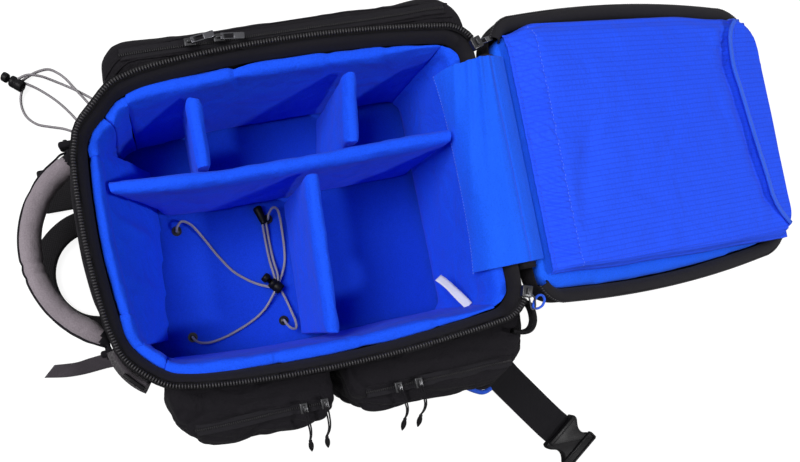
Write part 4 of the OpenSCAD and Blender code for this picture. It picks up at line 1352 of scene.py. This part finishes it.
def under_edge(s, y):
    """How high cloth on the lid may stand, so that it clears the zip band when the lid is shut."""
    bow = LID_BOW * (s - NECK_X) / 331 * (TIP_X - s) / 331
    inset = min(TIP_X + END_R - s, HALF_WIDE + bow - abs(y))
    if s > TIP_X and abs(y) > END_Y:
        inset = END_R - math.hypot(s - TIP_X, abs(y) - END_Y)
    return -1.8 + 13.4 * soft_step((inset - 13.5) / 7.5)


def across_sleeve(u, v):
    """Where a point of the sheet lies across the lid; the gusset takes the first tenth."""
    low, top, far = knot_line(NEAR_LOW, u), knot_line(NEAR_TOP, u), knot_line(FAR_EDGE, u)
    knots = [(0, low), (0.045, low + 1.0), (0.085, top - 1.5), (0.11, top), (0.95, far - 12),
        (0.985, far - 2), (1, far)]
    for (a, p), (b, q) in zip(knots, knots[1:]):
        if v <= b:
            return p + (q - p) * (v - a) / (b - a)


def ruffles(s, y, inside):
    """The gathers of the hem."""
    gather = hump(s - 52, 17) * inside * (0.25 + 0.75 * soft_step((s - 37) / 10))
    beat = (y + 0.55 * s) / 8.6 + 1.5 * noise.noise(Vector((y * 0.03, s * 0.01, 0)))
    loose = 1.6 * noise.noise(Vector((y * 0.12, s * 0.03, 5)))
    return gather * (2.2 * math.sin(math.tau * beat) + loose - 0.8)


def slack_folds(s, y):
    """Broad slack, folds at the far corner and along the near edge, and one long hollow."""
    slack = noise.fractal(Vector((s * 0.011, y * 0.016, 1)), 0.7, 2.0, 3)
    corner = math.exp(-((s - 398) / 60) ** 2 - ((y - 124) / 46) ** 2)
    twist = Vector((s * 0.03 + y * 0.02, y * 0.045 - s * 0.02, 9))
    fold = corner * 4.2 * noise.fractal(twist, 0.8, 2.0, 3)
    near_folds = hump(y + 118, 26) * 1.6 * noise.noise(Vector((s * 0.035, y * 0.03, 4)))
    hollow = hump(s - 92 - 0.30 * (y + 60), 17) * soft_step((y + 95) / 50) \
        * soft_step((70 - y) / 60)
    return slack * 1.5 + fold + near_folds - 4.2 * hollow


def sleeve_point(u, v):
    s, y = SLEEVE_START + SLEEVE_LONG * u, across_sleeve(u, v)
    h = -7.2 + (knot_line(HEIGHTS, v) + 7.2) * (0.35 + 0.65 * soft_step((s - 33) / 34))
    inside = soft_step((v - 0.1) / 0.05) * soft_step((0.96 - v) / 0.05)
    h += ruffles(s, y, inside)
    h += inside * slack_folds(s, y) * soft_step((s - 60) / 30)
    mouth = hump(s - knot_line(MOUTH, y) + 4, 12) * soft_step((y + 118) / 40) \
        * soft_step((146 - y) / 40)
    h -= inside * (1.5 * hump(s - 70, 3.2) + 6.0 * mouth)
    return s, y, min(h, 10.6, under_edge(s, y) - 1)


print("sleeve centre", [round(c, 1) for c in sleeve_point(0.5, 0.5)])

# %% Sleeve sheet
def grid_sheet(name, point, nu, nv, body, node, thick, smoother):
    bm = bmesh.new()
    loft(bm, [line_of(point(i / nu, j / nv) for j in range(nv + 1)) for i in range(nu + 1)],
        False)
    obj = piece(name, bm, ripstop, body, (node,), LID)
    thicken(obj, thick, smoother)
    return obj


def on_sleeve(s, v, lift=0.5):
    s, y, h = sleeve_point((s - SLEEVE_START) / SLEEVE_LONG, v)
    return Vector((s, y, h + lift)) * MM


sleeve = grid_sheet("sleeve_cloth", sleeve_point, 160, 200, "lid", "laptop_sleeve", 0.8, False)
spread = [0.06 + 0.92 * i / 120 for i in range(121)]
gusset_seam = [on_sleeve(72 + 3.6 * i, 0.115) for i in range(97)]
marks = [stitches("sleeve_hem_stitches_left", [on_sleeve(40, v) for v in spread], thread_blue,
        "lid", LID, 4.2),
    stitches("sleeve_hem_stitches_right", [on_sleeve(70, v) for v in spread], thread_pale,
        "lid", LID, 4.2),
    stitches("sleeve_gusset_stitches", gusset_seam, thread_blue, "lid", LID)]
hem_cord = tape("sleeve_hem_fold", [on_sleeve(37, v, 0.2) for v in spread], 4, 1.6, ripstop,
    "lid", at=LID)
print("sleeve points", len(sleeve.data.vertices))

# %% [markdown]
# ## Sleeve flap
# A crescent of ripstop closes the sleeve at the lid's far end. Its curved edge carries a bright
# binding, and the whole flap swings on its own hinge line beyond the sleeve.
# %% Sleeve flap
inner_edge = smooth_line([(404, 150, 0), (396, 147, 0), (385, 138, 0), (378, 127, 0),
    (374, 111, 0), (372, 85, 0), (376, 59, 0), (380, 30, 0), (385, -7, 0), (390, -38, 0),
    (394, -65, 0), (397, -86, 0), (406, -107, 0), (424, -129, 0)], 5)
outer_edge = smooth_line([(421, 149, 0), (427, 142, 0), (430, 133, 0), (432, 122, 0),
    (433, 108, 0), (434, 84, 0), (435, 59, 0), (435.5, 30, 0), (436, -7, 0), (436, -38, 0),
    (435.5, -65, 0), (434.5, -86, 0), (433, -107, 0), (430, -131, 0)], 5)


def flap_point(u, v):
    """A point of the crescent: u runs along its two edges, v from the inner to the outer one."""
    k = min(int(u * (len(inner_edge) - 1)), len(inner_edge) - 2)
    f = u * (len(inner_edge) - 1) - k
    a, b = [edge[k].lerp(edge[k + 1], f) / MM for edge in (inner_edge, outer_edge)]
    p = a.lerp(b, v)
    wave = 0.7 * noise.fractal(Vector((p.x * 0.02, p.y * 0.03, 7)), 0.8, 2.0, 3) * v
    h = 11.6 + 1.4 * math.sin(math.pi * v) + wave
    return p.x, p.y, min(h, under_edge(p.x, p.y))


flap = grid_sheet("flap_cloth", flap_point, 70, 12, "sleeve_flap", "sleeve_flap", 1.0, True)
edge_line = line_of([flap_point(0, 1 - j / 6) for j in range(6)]
    + [flap_point(i / 90, 0) for i in range(91)])
binding = tape("flap_binding", edge_line, 5.8, 2.2, edge_blue, "sleeve_flap", at=LID)
seam_line = [p + Vector((0, 0, 0.0006)) for p in line_of(flap_point(i / 90, 0.12)
    for i in range(91))]
seam = stitches("flap_stitches", seam_line, thread_blue, "sleeve_flap", LID)
print("flap edge", round(length_of(edge_line), 3), "m")

# %% [markdown]
# ## Carry handle
# The handle is a stuffed tube on an arc. Its section shrinks and flattens towards the ends,
# where it is sewn into loops. Piping splits it into a grey inner face and a dark outer one.
# %% Handle
HANDLE_Z = 100
AXIS = Vector((-0.1911, 0.010, 0.100))  # middle of the arc
turns = [math.radians(116.3 + 127.4 * i / 40) for i in range(41)]
arc_line = [(-191.1 + 114.9 * math.cos(a), 10 + 114.9 * math.sin(a)) for a in turns]
flat_line = [(-237, 137), (-240.5, 127), (-243, 119)] + arc_line[1:-1:3] \
    + [(-243, -99), (-240.5, -107), (-237, -117)]
handle_line = smooth_line([(x, y, HANDLE_Z) for x, y in flat_line], 8)
DENTS = ((0.535, 0.009, 1.6), (0.575, 0.008, 1.2), (0.30, 0.02, 0.8))  # place, width, depth


def handle_reach(t):
    """Half the handle's width and height at a part t of its length."""
    full = soft_step((min(t, 1 - t) - 0.07) / 0.1)
    pinch = sum(deep * hump(t - middle, wide) for middle, wide, deep in DENTS)
    return 3.4 + 10.0 * full - pinch, 2.8 + 10.4 * full - pinch


bm = bmesh.new()
sweep(bm, handle_line, lambda t: oval(*handle_reach(t), 24))
ripple(bm, 0.7, 30)
grip = piece("handle_grip", bm, handle_cloth, "handle", ("handle",))
grip.data.materials.append(band_cloth)
for face in grip.data.polygons:
    near = min(handle_line, key=lambda p: (p - face.center).length_squared)
    out = (face.center - near).normalized()
    ahead = (near - AXIS).normalized()
    turn = abs(math.degrees(math.atan2(face.center.y - AXIS.y, AXIS.x - face.center.x)))
    face.material_index = 1 if out.dot(ahead) > 0.80 or turn > 62.5 else 0
rounded(grip)

# %% Piping and bars of the handle
for label, side in (("upper", 1), ("lower", -1)):
    line = []
    for k, here in enumerate(handle_line[12:-12]):
        wide, high = handle_reach((k + 12) / (len(handle_line) - 1))
        ahead = (here - AXIS).normalized()
        line.append(here + ahead * wide * 0.80 * MM + Vector((0, 0, high * 0.63 * side)) * MM)
    tube(f"handle_piping_{label}", line, 1.3 * MM, band_cloth, "handle",
        sides=2)
for label, start, stop in (("far", 111, 140.6), ("near", -120.6, -91)):
    pin = turned([(0, start), (2.5, start), (2.5, stop), (0, stop)], 16)
    piece(f"handle_bar_{label}", pin, plastic, "handle", (),
        placed(-0.242, 0, 0.1, X=-90))
print("handle is", round(length_of(handle_line) * 1000), "mm long")

# %% [markdown]
# ## Straps, pads and belt
# Shoulder straps and the parts under the bag are foam in mesh cloth. The belt wing ends in a
# wide webbing with a buckle, and its edge carries blue piping.
# %% Back pads and belt wings
BELT_ANGLE = -55
BELT_ROOT = Vector((281, -257, 0))
belt_way = Vector((math.cos(math.radians(BELT_ANGLE)), math.sin(math.radians(BELT_ANGLE)), 0))
belt_side = Vector((-belt_way.y, belt_way.x, 0))
tip_a, tip_b = BELT_ROOT + belt_side * 30, BELT_ROOT - belt_side * 30


def flat_pad(name, outline, node, z0, z1):
    bm = bmesh.new()
    prism(bm, outline, z0, z1)
    pad(name, bm, mesh_cloth, "bag", (node,), voxel=5, puff=1.0, rumple=0.8)


def back_pad(name, x0, x1, y0, y1, r):
    corners = ((x1 - r, y1 - r, 0), (x0 + r, y1 - r, 90), (x0 + r, y0 + r, 180),
        (x1 - r, y0 + r, 270))
    flat_pad(name, [p for x, y, a in corners for p in arc(x, y, r, a, a + 90, 5)], "back_pads",
        0.1, 13.8)


for k, y in enumerate((-43, 0, 43)):
    back_pad(f"back_pad_{k + 1}", -140, 95, y - 19, y + 19, 14)
back_pad("lumbar_pad", 108, 206, -75, 75, 20)
flat_pad("far_wing", [(122, 76), (204, 76), (210, 242), (196, 262), (156, 262), (146, 257),
    (146, 198)], "belt_wing_far", 0.6, 11.4)
flat_pad("near_wing", [(122, -76), (204, -76), (284, -200), (tip_a.x + 3, tip_a.y + 14),
    (tip_a.x, tip_a.y), (tip_b.x, tip_b.y), (tip_b.x - 16, tip_b.y), (208, -252), (168, -180)],
    "belt_wing_near", 0.6, 11.4)
tube("wing_piping", smooth_line([(tip_b.x + 2, tip_b.y + 4, 7), (tip_b.x - 15, tip_b.y + 2, 7),
    (210, -249.5, 7), (193, -217, 7), (171, -179, 7)]), 3.4 * MM, edge_blue)
print("pads so far", len(waiting))

# %% Shoulder straps and belt webbing
FAR_Y, NEAR_Y = 110.5, -79
WEB = flat_section(25, 1.8)


def strap(name, node, line, section, sewn_on, across=None):
    """A padded strap, and the thin webbing that it is sewn to."""
    bm = bmesh.new()
    sweep(bm, line, section, across)
    sweep(bm, line_of(sewn_on), WEB, across)
    ripple(bm, 0.5, 24)
    piece(name, bm, mesh_cloth, "bag", (node,))


fold = [math.radians(a) for a in range(270, 89, -20)]
path = [(60, 4.9), (-100, 4.9), (-240, 4.9)] \
    + [(-291 + 3.2 * math.cos(a), 8.1 + 3.2 * math.sin(a)) for a in fold] \
    + [(-250, 11.2), (-166, 11.2)]
strap("far_strap", "shoulder_strap_far", line_of((x, FAR_Y, z) for x, z in path),
    flat_section(56, 5.2), [(60, FAR_Y, 4.2), (110, FAR_Y, 4.2)], (0, 1, 0))
loop = [(-166, 63)] + arc(-243, -8, 71, 90, 270, 30) \
    + [(-150, NEAR_Y), (-60, NEAR_Y), (60, NEAR_Y)]
strap("near_strap", "shoulder_strap_near", lifted(loop, 7.9), flat_section(30, 11.2, 4.5),
    [(60, NEAR_Y, 12.6), (109, NEAR_Y, 12.6)])

BELT_HEIGHTS = ((-18, 6.2), (-8, 5.8), (0, 4), (8, 2.4), (20, 2.1), (50, 2), (80, 2), (100, 3),
    (117, 7))
tape("near_belt", line_of(BELT_ROOT + belt_way * d + Vector((0, 0, z)) for d, z in BELT_HEIGHTS),
    50, 1.9, webbing, "bag", ("belt_webbing",))
print("straps laid")

# %% [markdown]
# ## Buckles
# The female half of the belt buckle is a moulded box with a mouth, a raised rib and two open
# sides. The male half has three prongs. All their edges are rounded, since a sharp moulded
# edge would catch no light.
# %% Buckles
BUCKLE_LOW, BUCKLE_TOP = 0.6, 11.6
half = flat_curve([(113, 29), (117, 31), (122, 30), (128, 25), (134, 21.5), (141, 21.5),
    (147, 25), (151, 29), (156, 31), (161, 30.5)], 3)
ribs = (((113, -25, 10.4), (119, 25, 14), 1.4), ((147, -29.5, 9.6), (150.4, 29.5, 14), 1.4),
    ((158, -29.5, 9), (161.4, 29.5, 13), 1.4), ((149, -30.5, 9.6), (160, -27.4, 13.6), 1.2),
    ((149, 27.4, 9.6), (160, 30.5, 13.6), 1.2))
bm = bmesh.new()
prism(bm, half + [(x, -y) for x, y in reversed(half)], BUCKLE_LOW, BUCKLE_TOP)
round_edges(bm, edges_at(bm, BUCKLE_TOP) + edges_at(bm, BUCKLE_LOW), 2.2)
for lo, hi, r in ribs:
    block(bm, lo, hi, r)
piece("belt_buckle_female", bm, plastic, "bag", ("female_buckle",),
    placed(*BELT_ROOT * MM, Z=BELT_ANGLE))

bm = bmesh.new()
sweep(bm, line_of([(-18, 0, 6.2), (-8, 0, 5.8), (0, 0, 4), (8, 0, 2.4), (20, 0, 2), (74, 0, 2)]),
    flat_section(50, 1.8))
block(bm, (74, -31, 0.5), (90, 31, 9.2), 2)
for y in (-24, 0, 24):
    block(bm, (88, y - 5, 2), (114, y + 5, 7.8), 1.8)
piece("belt_buckle_male", bm, plastic, "bag", ("male_buckle",),
    Matrix.Translation((0.146, 0.228, 0)) @ Matrix.Diagonal((-1, 1, 1, 1)))
print("buckle ribs", len(ribs))

# %% [markdown]
# ## Corner strap and sewn loops
# A webbing runs round the near corner of the handle end through a ladder buckle, and its free
# tail lies on the ground. Folded fabric loops hold the handle, the elastic cord and a lashing
# point at the hinge.
# %% Corner strap
STRAP_OUT = 0.0622


def at_corner(angle, out=STRAP_OUT):
    return placed(-0.163, -0.103, 0, Z=angle) @ Matrix.Translation((out, 0, 0))


bm = bmesh.new()
sweep(bm, lifted(arc(END_X, -END_Y, 63.3, 188, 236, 14), 167.5), flat_section(1.9, 19))
sweep(bm, line_of([(0, 0, 2), (0, 0, 80), (0, 0, 159)]), flat_section(19, 1.9), (0, 1, 0))
bmesh.ops.transform(bm, matrix=at_corner(206) @ Matrix.Translation((0.0011, 0, 0)),
    verts=[v for v in bm.verts if abs(v.co.x) < 0.02 and abs(v.co.y) < 0.02])
edge_a = smooth_line([(-224, -121.5, 2.2), (-240, -117, 5), (-258, -113.5, 6),
    (-278, -114.5, 3), (-297, -116.5, 2.2), (-324, -114, 2)], 5)
edge_b = smooth_line([(-217, -139, 2.2), (-235, -135, 3.4), (-253, -132, 3.0),
    (-287, -134, 2.4), (-312, -133, 4), (-340, -128, 2)], 5)
loft(bm, [[a.lerp(b, i / 6) for a, b in zip(edge_a, edge_b)] for i in range(7)], False)
# The corner webbing takes the lighter copy of the webbing: painted light from the left.
thicken(piece("corner_webbing", bm, webbing_painted_light, "bag", ("corner_strap",)), 1.5,
    False)

bars = (((2.6, -13, 153.5), (7, 13, 158)), ((2.6, -13, 177), (7, 13, 181.5)),
    ((2.6, -13, 154), (7, -9.2, 181)), ((2.6, 9.2, 154), (7, 13, 181)),
    ((3.4, -4.6, 154), (7.6, -1, 181)), ((3.4, 1.4, 154), (7.6, 5, 181)))
bm = bmesh.new()
for lo, hi in bars:
    block(bm, lo, hi, 1.1)
piece("ladder_buckle", bm, plastic, "bag", (), at_corner(222))
print("ladder buckle bars", len(bars))

# %% Sewn loops
bm = bmesh.new()
for y0, y1 in ((129.2, 137.8), (-117.8, -109.2)):
    block(bm, (-250, y0, 91), (-219, y1, 109), 3.4)
for angle in (112, 130):
    block(bm, (53, -8, 0), (73.5, 8, 1.4), 0.5, placed(-0.163, 0.103, 0.0127, Z=angle))
piece("handle_loops", bm, nylon, "bag", ("sewn_tabs",))

ring = smooth_line([(222, -150, 170), (230, -150.5, 170), (238, -153.5, 170.5),
    (241, -163, 171), (240, -175, 171), (234, -183, 170.5), (224, -184, 170), (214, -180, 170)],
    5)
tape("hinge_corner_loop", ring, 2.2, 8, webbing)
print("harness pieces done")

# %% [markdown]
# ## Inflate the pads
# One cloth run for all of them: pressure on, gravity off, twenty frames. Each point's travel
# is capped, then broad noise presses shallow rumples into the covers, always inwards.
# %% One cloth run
FRAMES = 20


def blow_up(pads):
    """Gives every pad its own cloth with pressure, and runs them all together."""
    for obj, *_ in pads:
        cloth_run = with_modifier(obj, "CLOTH")
        cloth_run.settings.quality = 3
        cloth_run.settings.use_pressure = True
        cloth_run.settings.uniform_pressure_force = 4
        cloth_run.settings.effector_weights.gravity = 0
        cloth_run.collision_settings.use_collision = False
    for number in range(1, FRAMES + 1):
        scene.frame_set(number)


def inflate(pads):
    start = {obj.name: [v.co.copy() for v in obj.data.vertices] for obj, *_ in pads}
    blow_up(pads)
    for obj, cap, rumple, size, pull in pads:
        ready = obj.evaluated_get(bpy.context.evaluated_depsgraph_get())
        blown = [v.co.copy() for v in ready.data.vertices]
        obj.modifiers.clear()
        for v, a, b in zip(obj.data.vertices, start[obj.name], blown):
            move = b - a
            if move.length > cap:
                move *= cap / move.length
            v.co = a + move
        normals = [v.normal.copy() for v in obj.data.vertices]
        for v, n in zip(obj.data.vertices, normals):
            dent = 0.5 + 0.5 * noise.fractal(v.co * size, 0.8, 2.0, 3)
            v.co -= n * rumple * max(dent, 0)
            if pull:
                pull(v, n)
        rounded(obj)
    scene.frame_set(1)


inflate(waiting)
print("inflated", len(waiting), "pads,", sum(len(p[0].data.vertices) for p in waiting), "points")

# %% [markdown]
# ## Zips and seams on the pockets
# Lines that lie on an inflated pocket are dropped onto its finished surface from above, so
# they follow its rumples and neither float nor sink.
# %% Pocket zips
DOWN = Vector((0, 0, -1))
ABOVE_ALL = 300
FAR_ZIP_Y, NEAR_ZIP_Y = 194, -215
FAR_SEAMS = ([(-180, 172), (-174, 179), (-166, 187), (-156, 193), (-140, 200), (-88, 204),
    (0, 207), (120, 207), (215, 200)],
    [(-174, 169), (-169, 174), (-159, 182), (-149, 186), (-130, 187), (-95, 186), (0, 186),
    (120, 186), (215, 183)])


def dropped(obj, points, lift):
    """The points laid on the object's top, and evened out a little along the line."""
    bpy.context.view_layer.update()
    tree = BVHTree.FromObject(obj, bpy.context.evaluated_depsgraph_get())
    line = []
    for point in lifted(points, ABOVE_ALL):
        hit = tree.ray_cast(point, DOWN)[0]
        if hit:
            line.append(hit + Vector((0, 0, lift * MM)))
    for _ in range(6):
        inside = [(a + b + b + c) / 4 for a, b, c in zip(line, line[1:], line[2:])]
        line = [line[0]] + inside + [line[-1]]
    return line


def pocket_zip(label, obj, x0, x1, y, n=60):
    points = [(x0 + (x1 - x0) * i / n, y) for i in range(n + 1)]
    line = dropped(obj, points, 0.5)
    tape(f"{label}_zip_tape", line, 13, 1.0, band_cloth, "bag", ("pocket_zips",))
    raised = [p + Vector((0, 0, 0.9 * MM)) for p in line]
    beads(f"{label}_zip_coil", evenly(raised, 2.35 * MM), (2.2, 0.85, 1.0), pocket_coil)
    for side in (-6, 6):
        fold = dropped(obj, [(x, y + side) for x, y in points], 0.4)
        tube(f"{label}_zip_fold_{side + 6}", fold, 1.1 * MM, nylon, sides=2)


pocket_zip("far_pocket", far_pocket, -160, 208, FAR_ZIP_Y, 90)
pocket_zip("upper_pocket", upper_pocket, -160, -18, NEAR_ZIP_Y)
pocket_zip("lower_pocket", lower_pocket, 36, 216, NEAR_ZIP_Y)
for k, points in enumerate(FAR_SEAMS, 1):
    tube(f"far_pocket_seam_{k}", dropped(far_pocket, flat_curve(points, 12), 0.2), 1.2 * MM,
        nylon, sides=2)
print("pocket seams", len(FAR_SEAMS))

# %% [markdown]
# ## Zip sliders
# Each slider is a rounded block with a bridge on top, and a pull that hangs from the bridge.
# The pockets near the viewer have cord pulls with moulded tips, the long pocket has metal
# tabs. The two main sliders sit at the hinge corners.
# %% Slider bodies and metal tabs
def slider(node, at, long=13, wide=9, high=3.4):
    bm = bmesh.new()
    block(bm, (-long / 2, -wide / 2, 0), (long / 2, wide / 2, high), 1.2, at)
    block(bm, (-long * 0.28, -1.5, high - 0.5), (long * 0.30, 1.5, high + 2.4), 1.0, at)
    piece(node + "_body", bm, slider_paint, node, (node,))


def tab(node, parts, at):
    """A metal pull: two wires and the plates that join them."""
    bm = bmesh.new()
    for lo, hi, soft in parts:
        block(bm, lo, hi, soft, at)
    piece(node + "_tab", bm, wire_metal, node, ())


POCKET_TAB = [((2, -3.6, 4.2), (26, -2.2, 5.6), 0.6), ((2, 2.2, 4.2), (26, 3.6, 5.6), 0.6),
    ((1, -3.6, 4.2), (4.5, 3.6, 5.8), 0.6), ((15, -3.4, 4.0), (27, 3.4, 5.7), 0.7)]
MAIN_TAB = [((0, -3.2, -0.6), (24, -2.0, 0.7), 0.5), ((0, 2.0, -0.6), (24, 3.2, 0.7), 0.5),
    ((13, -3.2, -0.7), (25, 3.2, 0.9), 0.7)]
for node, x, angle in (("far_pocket_slider_a", -84, 9), ("far_pocket_slider_b", -52, -6)):
    slider(node, placed(x * MM, 0.194, 0.1794))
    tab(node, POCKET_TAB, placed(x * MM, 0.194, 0.1794, Z=angle))
print("metal tab parts", len(POCKET_TAB))

# %% Cord pulls of the near pockets
# Where each slider stands, where its pull ends, and how the tip is turned
HANGING = {"upper_pocket_slider_a": (-40, -33, 6), "upper_pocket_slider_b": (-16, -13, 6),
    "lower_pocket_slider_a": (70, 84, -8), "lower_pocket_slider_b": (94, 104, -8)}
PULL = ((0, -217, 170.8), (0.22, -228, 170), (0.45, -239, 164.5), (0.65, -247, 154),
    (0.84, -253.5, 141), (1, -258.5, 128.5))
TIP = ((0, 1.3), (-1.4, 2.2), (-4, 2.1), (-7, 3.0), (-11, 3.3), (-15, 2.8), (-18.5, 1.7),
    (-21, 0.7))
for node, (x, x1, angle) in HANGING.items():
    slider(node, placed(x * MM, -0.215, 0.1664, Z=-90), 12)
    for k, side in enumerate((-1.1, 1.1)):
        line = smooth_line([(x + (x1 - x) * t + side * (1.4 - t), y, z) for t, y, z in PULL])
        tube(f"{node}_cord_{k}", line, 0.95 * MM, webbing, node, sides=2)
    bm = bmesh.new()
    loft(bm, [lifted(oval(w, w * 0.8, 12), z) for z, w in TIP], True)
    close_up(bm)
    piece(node + "_tip", bm, plastic, node, (),
        placed(*Vector((x1, -258.5, 129)) * MM, Z=angle, X=-52))
print("cord pulls", len(HANGING))

# %% Main sliders
def corner_slider(node, sign):
    turn = placed(0.187, sign * 0.127, 0, Z=sign * 18)
    slider(node, turn @ placed(0.0368, 0, 0.1968, Z=90), 13, 11.5, 6.2)
    return turn


far_turn = corner_slider("main_slider_far", 1)
tab("main_slider_far", MAIN_TAB, far_turn @ placed(0.0425, 0, 0.1975, Y=24))
corner_slider("main_slider_near", -1)
wire = smooth_line([(222, -140, 203), (226, -143, 202), (230, -147, 199), (232.5, -152, 195),
    (233.5, -157, 192), (231.5, -160, 191), (228, -158, 192.5), (226, -151, 196),
    (223.5, -145, 200), (221.5, -141, 203)])
tube("main_slider_near_wire", wire, 0.9 * MM, wire_metal, "main_slider_near",
    sides=2)
blue_loop = smooth_line([(232, -158, 191), (238, -160, 188), (245, -158, 187), (249, -152, 187),
    (247, -147, 188), (241, -146, 189.5), (235, -150, 191), (231, -156, 192), (232, -158, 191)])
tube("main_slider_near_cord", blue_loop, 1.4 * MM, edge_blue, "main_slider_near",
    sides=2)
print("blue loop", round(length_of(blue_loop) * 1000), "mm")

# %% [markdown]
# ## Eyelets and stiffener
# Two imported parts show as they are: the pressed metal eyelets and the board under the floor
# pad. They get a finish, and each eyelet a small dark cup that closes its hole: partly the
# dark board below, partly painted shade in the hole.
# %% Eyelets and stiffener
packed = {"floor_eyelets": eyelet_paint, "frame_sheet": board}
for node, finish in packed.items():
    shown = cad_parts[node]
    shown.data.materials.clear()
    shown.data.materials.append(finish)
# Dark cups fill the eyelet holes: painted shade in the holes, over the dark board beneath.
bm = bmesh.new()
for x, y in ((-133, 26), (-11, 20), (-140, -115), (-17, -117)):
    bmesh.ops.create_cone(bm, cap_ends=True, segments=24, radius1=4.9 * MM, radius2=3.6 * MM,
        depth=1.6 * MM, matrix=Matrix.Translation(Vector((x, y, 24.8)) * MM))
piece("eyelet_cups_painted_shade", bm, eyelet_paint, "bag", ())
print("finished packed parts", len(packed))
